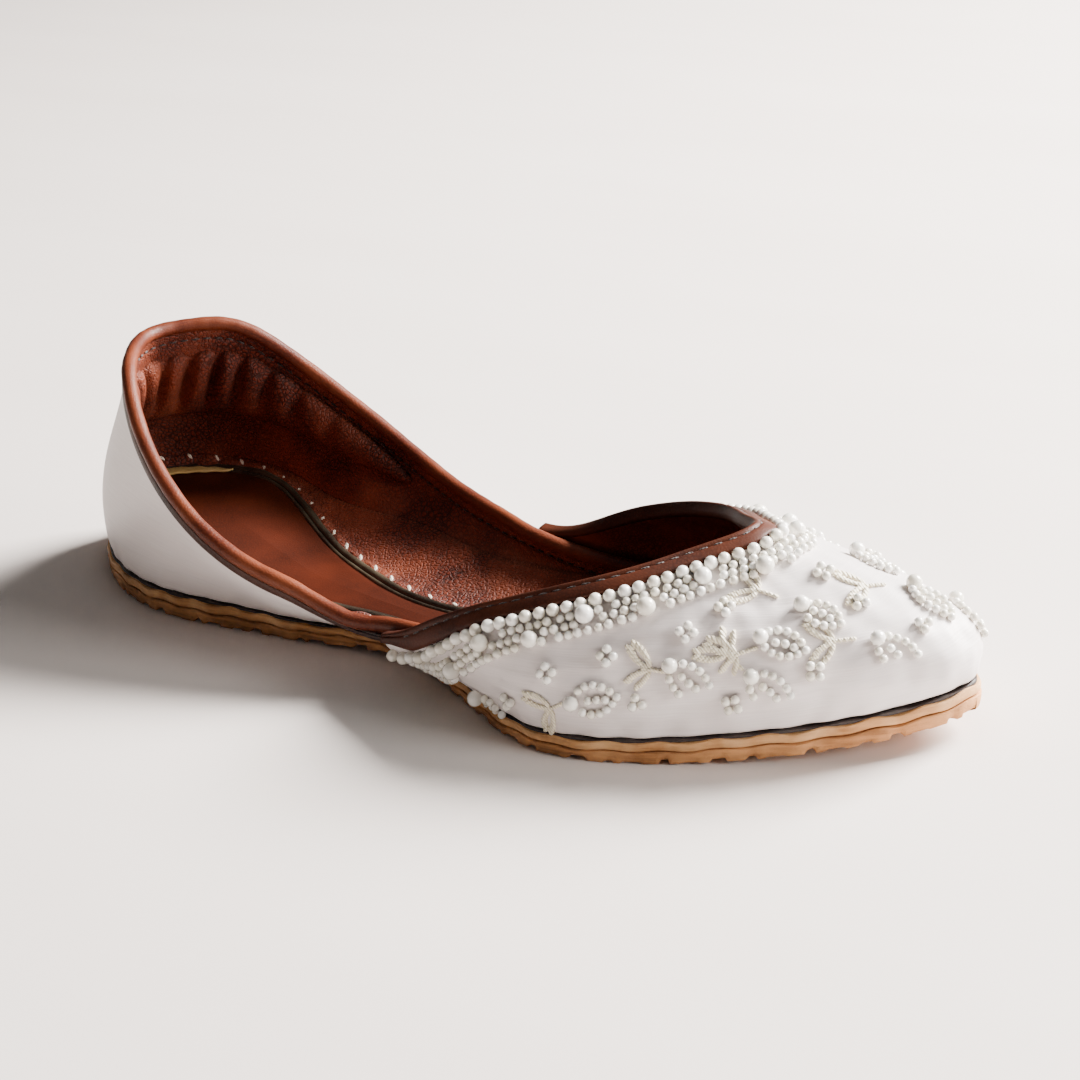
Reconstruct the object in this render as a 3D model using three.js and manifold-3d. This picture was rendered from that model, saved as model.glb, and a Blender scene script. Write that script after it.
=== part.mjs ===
// Mojari (jutti): a flat slip-on shoe for the right foot, drawn over a last and stitched to a leather sole.
// Millimetres, +X towards the toe, +Z up, -Y the outer side of the foot. The floor is z = 0.
// The origin is the middle of the shoe's box, on the floor.
//
// One function, last(), gives the surface of the last. Every part of the upper is a slab that follows it.
import * as THREE from 'three';
import { mergeVertices } from 'three/addons/utils/BufferGeometryUtils.js';
import Module from 'manifold-3d';

// ---- driving dimensions ----
const SOLE_LENGTH = 258.5;
const LAST_SWING = 13.5;      // how far the waist lies to the outer side of the line from heel to toe
const OUTSOLE = 3.2;
const MIDSOLE = 2.0;
const MIDSOLE_INSET = 0.3;
const RAND = 0.8;
const RAND_INSET = 0.7;
const RAND_WIDTH = 7;
const ARCH_RISE = 1.5;
const ARCH_MIDDLE = 115;
const ARCH_REACH = 34;        // the arch runs this far each way from its middle
const TOE_SPRING = 6.5;
const WAIST_SKIVE = 0.34;     // the layers under the insole are pared by this share at the waist
const SKIVE_MIDDLE = 118;
const SKIVE_BACK = 60;        // and the paring runs out this far towards the heel
const SKIVE_FRONT = 150;      // and this far towards the toe
const OUTER_DIP = 4.1;        // the outer side's top line dips this much lower at the waist
const DIP_MIDDLE = 122;
const DIP_REACH = 24;
const DIP_FROM = 8;           // nothing below this height is lowered
const DIP_FULL = 12;          // and the dip is full this much higher
const SPRING_START = 192.5;
const WALL = 2.0;             // satin, leather and lining together
const VAMP_LAP = 1.8;         // the vamp lies this far outside the quarters where its wings cover them
const GAP = 0.3;
const SOLE_EDGE = 1.2;        // the sole stands this far proud of the upper's foot
const INSOLE = 2.2;
const INSOLE_INSET = 7.5;     // from the sole's edge to the insole's
const INSOLE_HEEL_INSET = 4.5;
const INSOLE_HEEL_END = 70;   // from here on the wider inset holds
const INSOLE_WAIST_INSET = 9; // and so much more on the inner side of the waist
const INSOLE_WAIST_REACH = 80;
const HEEL_LIFT = 8;          // a leather wedge under the sock
const HEEL_LIFT_TOP = 34;     // full height from the heel to here
const HEEL_LIFT_END = 84;
const PIPING_RADIUS = 1.9;
const PIPING_SEAT = 2 * PIPING_RADIUS + GAP;   // the quarters' wall ends this far below the top line
const BINDING_WIDTH = 5;
const BINDING = 0.9;
const BINDING_FACE = VAMP_LAP + 2.5 * GAP;     // where the binding's outer leg lies, out from the last
const BINDING_CLEAR = 1.0;    // the binding's cap starts this far outside the quarters
const PAD_DEPTH = 3.2;
const PAD_EDGE = 0.6;
const PAD_MIDDLE = 0.65;      // how far up the wall the pad's middle line lies, as a share of its height
const PAD_DROOP = 0.02;       // and how much lower at its ends
const PAD_HALF = 0.18;        // half the pad's height at the heel's middle, as such a share
const PAD_TIP = 0.08;         // and at its ends

// ---- fineness ----
const QUARTER_AROUND = 56;
const QUARTER_UP = 6;
const VAMP_AROUND = 68;
const VAMP_UP = 9;
const PIPING_STEPS = 56;
const PIPING_SIDES = 8;
const PAD_AROUND = 28;
const PAD_UP = 6;
const SOLE_STATIONS = 40;
const SOLE_LANES = 4;
const RAND_AROUND = 88;

// ---- the last, one row for each meridian from the heel's middle to the toe's middle ----
// soleX, soleY: where the meridian stands on the sole's outline.
// topX, topY, topZ: where it ends at the top line.
// rise, flare: how far it first climbs and swells out.  run, fall: how far out and below the top it comes in.
// quarter, vamp: how much of the meridian each of the two covers, 1 being all of it.
const LAST_ROWS = [
  { soleX: 0, soleY: 0, topX: 21.9, topY: 0, topZ: 64,
    rise: 21.1, flare: 4.5, run: 2.4, fall: 17.3, quarter: 1, vamp: 0 },
  { soleX: 7.1, soleY: 14.4, topX: 28.2, topY: 12.5, topZ: 64,
    rise: 21.1, flare: 4.5, run: 2.4, fall: 17.3, quarter: 1, vamp: 0 },
  { soleX: 23.7, soleY: 25, topX: 37.8, topY: 22.6, topZ: 61.3,
    rise: 19.2, flare: 4.5, run: 2.4, fall: 16.3, quarter: 1, vamp: 0 },
  { soleX: 47.6, soleY: 28.8, topX: 53.1, topY: 31.7, topZ: 49.7,
    rise: 15.4, flare: 5.5, run: 1.9, fall: 14.4, quarter: 1, vamp: 0 },
  { soleX: 74.7, soleY: 24, topX: 75.7, topY: 36.5, topZ: 35,
    rise: 10.6, flare: 8.6, run: 1.4, fall: 10.6, quarter: 1, vamp: 0 },
  { soleX: 96.8, soleY: 20.2, topX: 96.8, topY: 34.6, topZ: 25.9,
    rise: 6.7, flare: 10.6, run: 1.4, fall: 7.7, quarter: 1, vamp: 0 },
  { soleX: 116, soleY: 17.8, topX: 115.5, topY: 31.2, topZ: 21.6,
    rise: 4.8, flare: 10.6, run: 1.4, fall: 5.8, quarter: 1, vamp: 0.75 },
  { soleX: 135.2, soleY: 21.6, topX: 132.3, topY: 29.3, topZ: 19.7,
    rise: 5.8, flare: 9.2, run: 1.9, fall: 5.8, quarter: 0.92, vamp: 0.95 },
  { soleX: 155.4, soleY: 31.7, topX: 148.2, topY: 28.3, topZ: 23.5,
    rise: 7.2, flare: 6.4, run: 4.3, fall: 5.8, quarter: 0.48, vamp: 0.97 },
  { soleX: 177.5, soleY: 40.3, topX: 160.7, topY: 28.3, topZ: 27.8,
    rise: 11.5, flare: 3.4, run: 9.6, fall: 5.8, quarter: 0.35, vamp: 1 },
  { soleX: 200.5, soleY: 37, topX: 175.5, topY: 25, topZ: 32.6,
    rise: 13.4, flare: 2.9, run: 15.4, fall: 6.7, quarter: 0.3, vamp: 1 },
  { soleX: 222.6, soleY: 28.3, topX: 189.9, topY: 17.8, topZ: 36.3,
    rise: 13.9, flare: 3.6, run: 23.5, fall: 8.2, quarter: 0.3, vamp: 1 },
  { soleX: 240.8, soleY: 19.7, topX: 197.6, topY: 10.6, topZ: 38.4,
    rise: 13.4, flare: 5, run: 31, fall: 9.6, quarter: 0.3, vamp: 1 },
  { soleX: 254.3, soleY: 9.1, topX: 203.4, topY: 5, topZ: 40.3,
    rise: 12.5, flare: 6.6, run: 37, fall: 11.5, quarter: 0.3, vamp: 1 },
  { soleX: 258.5, soleY: 0, topX: 206.7, topY: 0, topZ: 41.3,
    rise: 12.5, flare: 7, run: 38, fall: 12, quarter: 0.3, vamp: 1 },
];
const TOE_ROW = LAST_ROWS.length - 1;
const WING_ROW = 6.8;         // the vamp's wings end just ahead of the waist
const WING_CLEAR = 0.8;       // the piping starts to turn in this many rows behind them
const QUARTER_ROW = 8.6;      // the quarters' front ends, hidden in the wings
const PAD_ROW = 4.3;          // the heel pad's ends

// ---- smooth columns ----
// A natural cubic spline through (knots, values), as a function.
function spline(knots, values) {
  const n = knots.length;
  const second = new Array(n).fill(0);
  const work = new Array(n).fill(0);
  for (let i = 1; i < n - 1; i++) {
    const before = knots[i] - knots[i - 1];
    const after = knots[i + 1] - knots[i];
    const share = before / (before + after);
    const pivot = share * second[i - 1] + 2;
    second[i] = (share - 1) / pivot;
    const bend = (values[i + 1] - values[i]) / after - (values[i] - values[i - 1]) / before;
    work[i] = ((6 * bend) / (before + after) - share * work[i - 1]) / pivot;
  }
  for (let i = n - 2; i >= 0; i--) second[i] = second[i] * second[i + 1] + work[i];
  return (at) => {
    let i = 0;
    while (i < n - 2 && at > knots[i + 1]) i++;
    const width = knots[i + 1] - knots[i];
    const a = (knots[i + 1] - at) / width;
    const b = 1 - a;
    const cubic = (a ** 3 - a) * second[i] + (b ** 3 - b) * second[i + 1];
    return a * values[i] + b * values[i + 1] + (cubic * width * width) / 6;
  };
}

// The rows go on as their own mirror image past the heel and the toe, so every column crosses there smoothly.
const MIRRORED = 3;
const ROW_NUMBERS = LAST_ROWS.map((row, i) => i);
const LOOP = [
  ...ROW_NUMBERS.slice(1, MIRRORED + 1).reverse().map((i) => ({ row: i, side: -1 })),
  ...ROW_NUMBERS.map((i) => ({ row: i, side: 1 })),
  ...ROW_NUMBERS.slice(TOE_ROW - MIRRORED, TOE_ROW).reverse().map((i) => ({ row: i, side: -1 })),
];
const KNOTS = [0];
for (let i = 1; i < LOOP.length; i++) {
  const [a, b] = [LOOP[i - 1], LOOP[i]];
  const along = LAST_ROWS[b.row].soleX - LAST_ROWS[a.row].soleX;
  const across = b.side * LAST_ROWS[b.row].soleY - a.side * LAST_ROWS[a.row].soleY;
  KNOTS.push(KNOTS[i - 1] + Math.sqrt(Math.hypot(along, across)));
}
const ACROSS = ['soleY', 'topY'];
const column = {};
for (const name of Object.keys(LAST_ROWS[0])) {
  const flips = ACROSS.includes(name);
  column[name] = spline(KNOTS, LOOP.map(({ row, side }) => LAST_ROWS[row][name] * (flips ? side : 1)));
}
const knotOfRow = spline(ROW_NUMBERS, ROW_NUMBERS.map((i) => KNOTS[i + MIRRORED]));
const TOE_KNOT = knotOfRow(TOE_ROW);
const HEEL_KNOT = knotOfRow(0);

// ---- the ground line and the swing of the last ----
const smooth = (t) => t * t * (3 - 2 * t);
const clamp01 = (t) => Math.min(1, Math.max(0, t));

function ground(x) {
  const arch = smooth(clamp01(1 - Math.abs(x - ARCH_MIDDLE) / ARCH_REACH));
  const spring = clamp01((x - SPRING_START) / (SOLE_LENGTH - SPRING_START));
  return ARCH_RISE * arch + TOE_SPRING * spring * spring;
}

// The height above the floor of a level of the sole, given its height in the full stack.
function level(height, x) {
  const reach = x < SKIVE_MIDDLE ? SKIVE_BACK : SKIVE_FRONT;
  const pared = WAIST_SKIVE * smooth(clamp01(1 - Math.abs(x - SKIVE_MIDDLE) / reach));
  return height - pared * Math.min(height, SOLE_TOP) + ground(x);
}

// How much lower a point of the outer side lies than its twin on the inner side.
function dip(side, x, z) {
  if (side > 0) return 0;
  return OUTER_DIP * smooth(clamp01(1 - Math.abs(x - DIP_MIDDLE) / DIP_REACH)) * clamp01((z - DIP_FROM) / DIP_FULL);
}

function swing(x) {
  const along = x / SOLE_LENGTH;
  return -LAST_SWING * 4 * along * (1 - along);
}

// The sole's outline at a knot: the point, and the unit normal out of it, before the swing.
function outline(knot) {
  const step = 0.02;
  const tangentX = column.soleX(knot + step) - column.soleX(knot - step);
  const tangentY = column.soleY(knot + step) - column.soleY(knot - step);
  const length = Math.hypot(tangentX, tangentY);
  return { x: column.soleX(knot), y: column.soleY(knot), outX: -tangentY / length, outY: tangentX / length };
}

const SOLE_TOP = OUTSOLE + MIDSOLE + RAND + 3 * GAP;
const LAP_START = knotOfRow(5);   // from here to LAP_END the last draws in, to leave room for the vamp
const LAP_END = knotOfRow(8.5);
const FOOT_BLEND = 0.35;          // up to here the wall's thickness turns from level to square
const FOOT_LEAN = 20;             // how strongly the top's run is turned square to the sole's edge

// The surface of the last: knot says which meridian, part how far up it, 0 at the sole and 1 at the top line.
function lastPoint(knot, part) {
  const foot = outline(knot);
  const inset = SOLE_EDGE + VAMP_LAP * smooth(clamp01((knot - LAP_START) / (LAP_END - LAP_START)));
  const footX = foot.x - inset * foot.outX;
  const footY = foot.y - inset * foot.outY;
  const footZ = level(SOLE_TOP, foot.x + SOLE_EDGE);
  const topX = column.topX(knot);
  const topY = column.topY(knot);
  const topZ = column.topZ(knot);
  let towardX = footX - topX + FOOT_LEAN * foot.outX;
  let towardY = footY - topY + FOOT_LEAN * foot.outY;
  const reach = Math.hypot(towardX, towardY);
  towardX /= reach;
  towardY /= reach;
  const flare = column.flare(knot);
  const run = column.run(knot);
  const curve = new THREE.CubicBezierCurve3(
    new THREE.Vector3(footX, footY, footZ),
    new THREE.Vector3(footX + flare * foot.outX, footY + flare * foot.outY, footZ + column.rise(knot)),
    new THREE.Vector3(topX + run * towardX, topY + run * towardY, topZ - column.fall(knot)),
    new THREE.Vector3(topX, topY, topZ),
  );
  return curve.getPoint(part);
}

// The same surface, moved out along its normal and swung. side is 1 on the inner side, -1 on the outer.
// At the foot the move is level, so that every layer stands on the sole at the same height.
function last(side, knot, part, out = 0) {
  const step = 0.01;
  const point = lastPoint(knot, part);
  const along = lastPoint(knot + step, part).sub(lastPoint(knot - step, part));
  const up = lastPoint(knot, part + step).sub(lastPoint(knot, part - step));
  const normal = new THREE.Vector3().crossVectors(up, along).normalize();
  normal.z *= smooth(clamp01(part / FOOT_BLEND));
  normal.normalize();
  point.addScaledVector(normal, out);
  return new THREE.Vector3(point.x, side * point.y + swing(point.x), point.z - dip(side, point.x, point.z));
}

// How far up a meridian a point lies whose distance from the edge of a part, square to that edge, is given.
function downFrom(name, knot, distance) {
  const step = 0.01;
  const edgeAt = (k) => Math.min(1, column[name](k));
  let part = edgeAt(knot);
  let point = lastPoint(knot, part);
  const edge = lastPoint(knot + step, edgeAt(knot + step)).sub(lastPoint(knot - step, edgeAt(knot - step)));
  const slant = Math.sin(edge.angleTo(lastPoint(knot, part - step).sub(point)));
  let left = distance / slant;
  while (left > 0 && part > step) {
    const next = lastPoint(knot, part - step);
    const length = point.distanceTo(next);
    if (length >= left) return part - (step * left) / length;
    left -= length;
    part -= step;
    point = next;
  }
  return part;
}

// ---- solids from pairs of sheets ----
// front and back give points for (i, j), i = 0..across, j = 0..along. The rims close the slab.
function slab(front, back, across, along) {
  const corners = [];
  const quad = (a, b, c, d) => corners.push(a, b, c, a, c, d);
  for (let i = 0; i < across; i++) {
    for (let j = 0; j < along; j++) {
      quad(front(i, j), front(i + 1, j), front(i + 1, j + 1), front(i, j + 1));
      quad(back(i, j), back(i, j + 1), back(i + 1, j + 1), back(i + 1, j));
    }
  }
  for (let i = 0; i < across; i++) {
    quad(front(i, 0), back(i, 0), back(i + 1, 0), front(i + 1, 0));
    quad(front(i, along), front(i + 1, along), back(i + 1, along), back(i, along));
  }
  for (let j = 0; j < along; j++) {
    quad(front(0, j), front(0, j + 1), back(0, j + 1), back(0, j));
    quad(front(across, j), back(across, j), back(across, j + 1), front(across, j + 1));
  }
  return weld(corners);
}

// One closed body from loose triangles: shared corners are merged and triangles without area are left out.
function weld(corners) {
  const loose = new THREE.BufferGeometry().setFromPoints(corners);
  const welded = mergeVertices(loose, 1e-3);
  const index = welded.getIndex().array;
  const kept = [];
  for (let i = 0; i < index.length; i += 3) {
    const [a, b, c] = index.slice(i, i + 3);
    if (a !== b && b !== c && c !== a) kept.push(a, b, c);
  }
  welded.setIndex(kept);
  return welded;
}

// Walks all round one end of the last. at(-1) and at(1) are the two sides' ends, at(0) the middle.
function wrap(startKnot, middleKnot) {
  return (t) => ({ side: t < 0 ? -1 : 1, knot: middleKnot + (startKnot - middleKnot) * Math.abs(t) });
}

// ---- the upper ----
// A wall between two distances from the last, from the sole up to below the edge of a part.
function wall(route, edgeName, edgeDrop, outer, inner, around, up) {
  const at = (i, j, out) => {
    const { side, knot } = route((2 * j) / around - 1);
    return last(side, knot, (downFrom(edgeName, knot, edgeDrop) * i) / up, out);
  };
  return slab((i, j) => at(i, j, outer), (i, j) => at(i, j, inner), up, around);
}

function quarters() {
  const route = wrap(knotOfRow(QUARTER_ROW), HEEL_KNOT);
  return wall(route, 'quarter', PIPING_SEAT, 0, -WALL, QUARTER_AROUND, QUARTER_UP);
}

function vamp() {
  const route = wrap(knotOfRow(WING_ROW), TOE_KNOT);
  const flipped = (t) => route(-t);
  return wall(flipped, 'vamp', BINDING + GAP, VAMP_LAP, VAMP_LAP - WALL, VAMP_AROUND, VAMP_UP);
}

const wasm = await Module();
wasm.setup();

function solidOf(geometry) {
  return new wasm.Manifold(new wasm.Mesh({
    numProp: 3,
    vertProperties: new Float32Array(geometry.getAttribute('position').array),
    triVerts: new Uint32Array(geometry.getIndex().array),
  }));
}

function geometryOf(solid) {
  const mesh = solid.getMesh();
  const geometry = new THREE.BufferGeometry();
  geometry.setAttribute('position', new THREE.BufferAttribute(mesh.vertProperties, 3));
  geometry.setIndex(new THREE.BufferAttribute(mesh.triVerts, 1));
  return geometry;
}

// The vamp's wings are sewn over the quarters' front ends, so the two are one wall.
function upper() {
  return geometryOf(solidOf(quarters()).add(solidOf(vamp())));
}

// ---- edges of the upper ----
// Rolled leather on the quarters' rim. It moves inwards where it runs on behind the vamp's wings.
function piping() {
  const route = wrap(knotOfRow(QUARTER_ROW), HEEL_KNOT);
  const wingKnot = knotOfRow(WING_ROW);
  const clearKnot = knotOfRow(WING_ROW - WING_CLEAR);
  const inWing = VAMP_LAP - WALL - 4 * GAP - PIPING_RADIUS;
  const step = 0.02;
  const points = [];
  for (let j = 0; j <= PIPING_STEPS; j++) {
    const { side, knot } = route(1 - (2 * j) / PIPING_STEPS);
    const hidden = smooth(clamp01((knot - clearKnot) / (wingKnot - clearKnot)));
    const out = THREE.MathUtils.lerp(-WALL / 2, inWing, hidden);
    const rimPart = (k) => downFrom('quarter', k, PIPING_SEAT);
    const rim = last(side, knot, rimPart(knot), out);
    const ahead = last(side, knot + step, rimPart(knot + step), out);
    const edge = ahead.sub(last(side, knot - step, rimPart(knot - step), out)).normalize();
    const up = rim.clone().sub(last(side, knot, rimPart(knot) - step, out));
    up.addScaledVector(edge, -up.dot(edge)).normalize();
    points.push(rim.addScaledVector(up, PIPING_RADIUS + GAP));
  }
  const section = new THREE.Shape().absarc(0, 0, PIPING_RADIUS, 0, 2 * Math.PI);
  const tube = new THREE.ExtrudeGeometry(section, {
    steps: PIPING_STEPS,
    curveSegments: PIPING_SIDES,
    extrudePath: new THREE.CatmullRomCurve3(points),
    bevelEnabled: false,
  });
  tube.deleteAttribute('normal');
  tube.deleteAttribute('uv');
  return mergeVertices(tube, 1e-3);
}

// Leather strip folded over the vamp's top line: its outer leg lies on the vamp, its cap covers the edge.
function binding() {
  const route = wrap(knotOfRow(WING_ROW), TOE_KNOT);
  const face = BINDING_FACE;
  const front = [
    { down: BINDING_WIDTH, out: face + BINDING },
    { down: BINDING_WIDTH / 2, out: face + BINDING },
    { down: 0, out: face + BINDING },
    { down: 0, out: BINDING_CLEAR },
  ];
  const back = [
    { down: BINDING_WIDTH, out: face },
    { down: BINDING_WIDTH / 2, out: face },
    { down: BINDING, out: face },
    { down: BINDING, out: BINDING_CLEAR },
  ];
  const footStep = 0.02;      // keeps the strip's lines apart where a wing is lower than the strip is wide
  const at = (section) => (i, j) => {
    const { side, knot } = route(1 - (2 * j) / VAMP_AROUND);
    const lowest = footStep * (front.length - 1 - i);
    return last(side, knot, Math.max(lowest, downFrom('vamp', knot, section[i].down)), section[i].out);
  };
  return slab(at(front), at(back), front.length - 1, VAMP_AROUND);
}

// Padded crescent behind the lining of the heel, thickest in its middle.
function heelPad() {
  const route = wrap(knotOfRow(PAD_ROW), HEEL_KNOT);
  const at = (deep) => (i, j) => {
    const t = (2 * j) / PAD_AROUND - 1;
    const { side, knot } = route(t);
    const middle = PAD_MIDDLE - PAD_DROOP * t * t;
    const half = PAD_TIP + (PAD_HALF - PAD_TIP) * Math.sqrt(1 - t * t);
    const climb = (2 * i) / PAD_UP - 1;
    const swell = (1 - climb * climb) * (1 - t * t);
    const out = -WALL - 2 * GAP - (deep ? PAD_EDGE + PAD_DEPTH * swell : 0);
    return last(side, knot, middle + half * climb, out);
  };
  return slab(at(false), at(true), PAD_UP, PAD_AROUND);
}

// ---- the sole ----
// A plate inside the sole's outline that follows the ground line, between two heights above it.
// The inset may differ from one side, -1, to the other, 1. Lift raises the plate's top.
function plate(inset, bottom, top, lift = () => 0) {
  const at = (height, raise) => (i, j) => {
    const knot = HEEL_KNOT + ((TOE_KNOT - HEEL_KNOT) * i) / SOLE_STATIONS;
    const edge = outline(knot);
    const across = (2 * j) / SOLE_LANES - 1;
    const depth = inset(edge.x, across);
    const x = edge.x - depth * edge.outX;
    const y = (edge.y - depth * edge.outY) * across;
    const z = level(height, x) + raise(edge.x);
    return new THREE.Vector3(x, (i % SOLE_STATIONS === 0 ? 0 : y) + swing(x), z);
  };
  return slab(at(top, lift), at(bottom, () => 0), SOLE_STATIONS, SOLE_LANES);
}

// A closed strip just inside the sole's outline.
function edgeStrip(inset, width, bottom, top) {
  const at = (height) => (i, j) => {
    const t = (2 * (j % RAND_AROUND)) / RAND_AROUND - 1;
    const knot = HEEL_KNOT + (TOE_KNOT - HEEL_KNOT) * Math.abs(t);
    const edge = outline(knot);
    const depth = inset + width * (1 - i);
    const x = edge.x - depth * edge.outX;
    const y = edge.y - depth * edge.outY;
    const isMiddle = t === 0 || t === -1;
    return new THREE.Vector3(x, (isMiddle ? 0 : Math.sign(t) * y) + swing(x), level(height, x));
  };
  const front = at(top);
  const back = at(bottom);
  const corners = [];
  const quad = (a, b, c, d) => corners.push(a, b, c, a, c, d);
  for (let j = 0; j < RAND_AROUND; j++) {
    quad(front(0, j), front(0, j + 1), front(1, j + 1), front(1, j));
    quad(back(0, j), back(1, j), back(1, j + 1), back(0, j + 1));
    quad(front(0, j), back(0, j), back(0, j + 1), front(0, j + 1));
    quad(front(1, j), front(1, j + 1), back(1, j + 1), back(1, j));
  }
  return weld(corners);
}

function insoleInset(x, across) {
  const waist = smooth(clamp01(1 - Math.abs(x - ARCH_MIDDLE) / INSOLE_WAIST_REACH));
  const heel = (INSOLE_INSET - INSOLE_HEEL_INSET) * (1 - smooth(clamp01(x / INSOLE_HEEL_END)));
  return INSOLE_INSET - heel + INSOLE_WAIST_INSET * waist * Math.max(0, across);
}

function heelLift(x) {
  return HEEL_LIFT * smooth(clamp01((HEEL_LIFT_END - x) / (HEEL_LIFT_END - HEEL_LIFT_TOP)));
}

// ---- assembly ----
const MATERIALS = {
  satin: new THREE.MeshStandardMaterial({ color: '#ded7d6', roughness: 0.55, metalness: 0 }),
  piping: new THREE.MeshStandardMaterial({ color: '#7a3b24', roughness: 0.5, metalness: 0 }),
  lining: new THREE.MeshStandardMaterial({ color: '#5a2716', roughness: 0.6, metalness: 0 }),
  insole: new THREE.MeshStandardMaterial({ color: '#94502a', roughness: 0.55, metalness: 0 }),
  rand: new THREE.MeshStandardMaterial({ color: '#2a2220', roughness: 0.7, metalness: 0 }),
  sole: new THREE.MeshStandardMaterial({ color: '#b98a5c', roughness: 0.7, metalness: 0 }),
};

const MIDSOLE_BOTTOM = OUTSOLE + GAP;
const RAND_BOTTOM = MIDSOLE_BOTTOM + MIDSOLE + GAP;
const INSOLE_BOTTOM = RAND_BOTTOM + RAND + GAP;

const outsole = plate(() => 0, 0, OUTSOLE);
const midsole = plate(() => MIDSOLE_INSET, MIDSOLE_BOTTOM, MIDSOLE_BOTTOM + MIDSOLE);
const rand = edgeStrip(RAND_INSET, RAND_WIDTH, RAND_BOTTOM, RAND_BOTTOM + RAND);
const insole = plate(insoleInset, INSOLE_BOTTOM, INSOLE_BOTTOM + INSOLE, heelLift);

const PIECES = [
  { name: 'outsole', geometry: outsole, material: MATERIALS.sole },
  { name: 'midsole', geometry: midsole, material: MATERIALS.sole },
  { name: 'rand', geometry: rand, material: MATERIALS.rand },
  { name: 'insole', geometry: insole, material: MATERIALS.insole },
  { name: 'upper', geometry: upper(), material: MATERIALS.satin },
  { name: 'collar_piping', geometry: piping(), material: MATERIALS.piping },
  { name: 'vamp_binding', geometry: binding(), material: MATERIALS.piping },
  { name: 'heel_pad', geometry: heelPad(), material: MATERIALS.lining },
];

const shoe = new THREE.Group();
for (const { name, geometry, material } of PIECES) {
  const mesh = new THREE.Mesh(geometry, material);
  mesh.name = name;
  shoe.add(mesh);
}
const box = new THREE.Box3().setFromObject(shoe);
const middle = box.getCenter(new THREE.Vector3());
shoe.position.set(-middle.x, -middle.y, -box.min.z);

export default shoe;
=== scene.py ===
# %% [markdown]
# # A mojari shoe, dressed piece by piece
#
# A mojari, or jutti, is a flat slip-on shoe. Satin backed with leather is drawn over a last, turned in under
# the foot and stitched to a sole of stacked leather, and the vamp is then worked with pearls, seed beads and
# thread. This lesson dresses a ready frame of that shoe. The frame gives every place and size, so loading it
# comes first, and everything after it is made to fit.

# %% Load the frame
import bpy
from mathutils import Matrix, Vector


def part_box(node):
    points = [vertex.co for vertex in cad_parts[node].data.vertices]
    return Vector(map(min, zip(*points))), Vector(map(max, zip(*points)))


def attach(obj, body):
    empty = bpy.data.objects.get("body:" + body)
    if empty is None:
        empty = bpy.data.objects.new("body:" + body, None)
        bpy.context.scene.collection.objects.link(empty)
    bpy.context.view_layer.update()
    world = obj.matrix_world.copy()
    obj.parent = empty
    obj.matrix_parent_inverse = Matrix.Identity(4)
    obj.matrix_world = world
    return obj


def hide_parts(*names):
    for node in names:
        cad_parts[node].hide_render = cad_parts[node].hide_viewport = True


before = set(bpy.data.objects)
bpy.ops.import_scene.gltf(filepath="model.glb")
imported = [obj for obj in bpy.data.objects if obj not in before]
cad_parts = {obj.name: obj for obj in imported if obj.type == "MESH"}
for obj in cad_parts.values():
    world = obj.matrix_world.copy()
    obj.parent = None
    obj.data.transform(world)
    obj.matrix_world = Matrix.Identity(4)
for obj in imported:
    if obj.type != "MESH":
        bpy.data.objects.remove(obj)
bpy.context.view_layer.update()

# %% Libraries
import math
import random
import bmesh
import bpy
import numpy as np
from mathutils import Matrix, Vector
from mathutils.bvhtree import BVHTree

MM = 0.001
chance = random.Random(7)
print("Blender", bpy.app.version_string)

# %% [markdown]
# ## Camera, floor and light
#
# The shoe stands on a pale table. A long lens from a little above keeps its lines calm. The camera is placed
# by azimuth, elevation and distance round a point inside the shoe, because those are easy to read off and to
# change, and it leans a few degrees, as a hand-held camera does. The light is a big soft panel high behind
# the toe, with a small window ahead of the toe, a faint ceiling and the room's own light around it, so the
# side towards us falls into soft shade.

# %% The camera
AIM = Vector((0.0134, 0.0104, 0.0250))
AZIMUTH = math.radians(37.9)
ELEVATION = math.radians(23.0)
LEAN = math.radians(-4.6)
DISTANCE = 0.6106
LENS_MM = 84.5
SENSOR_MM = 36.0
NEAREST = 0.01

away = Vector((
    math.sin(AZIMUTH) * math.cos(ELEVATION),
    -math.cos(AZIMUTH) * math.cos(ELEVATION),
    math.sin(ELEVATION),
))
camera_data = bpy.data.cameras.new("camera")
camera_data.lens = LENS_MM
camera_data.sensor_width = SENSOR_MM
camera_data.clip_start = NEAREST
camera = bpy.data.objects.new("camera", camera_data)
bpy.context.collection.objects.link(camera)
look = away.to_track_quat("Z", "Y").to_matrix().to_4x4()
camera.matrix_world = Matrix.Translation(AIM + DISTANCE * away) @ look @ Matrix.Rotation(LEAN, 4, "Z")
bpy.context.scene.camera = camera
print("camera", round(DISTANCE, 3), "m from the shoe")

# %% Lights and room
# name, where it stands, edge length, watts, colour
PANELS = (
    ("window_panel", (0.64, 1.10, 0.84), 0.75, 215.0, (1.0, 0.95, 0.91)),
    ("toe_window", (1.30, 0.20, 0.50), 0.5, 18.0, (1.0, 0.955, 0.92)),
    ("ceiling_panel", (0.4, 0.3, 1.5), 1.6, 3.0, (1.0, 0.98, 0.96)),
)
ROOM_COLOUR = (1.0, 0.985, 0.975, 1.0)
ROOM_STRENGTH = 0.07
for name, place, edge, watts, colour in PANELS:
    panel = bpy.data.lights.new(name, "AREA")
    panel.shape = "SQUARE"
    panel.size = edge
    panel.energy = watts
    panel.color = colour
    lamp = bpy.data.objects.new(name, panel)
    lamp.location = place
    lamp.rotation_euler = (Vector(place) - AIM).to_track_quat("Z", "Y").to_euler()
    bpy.context.collection.objects.link(lamp)

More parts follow.
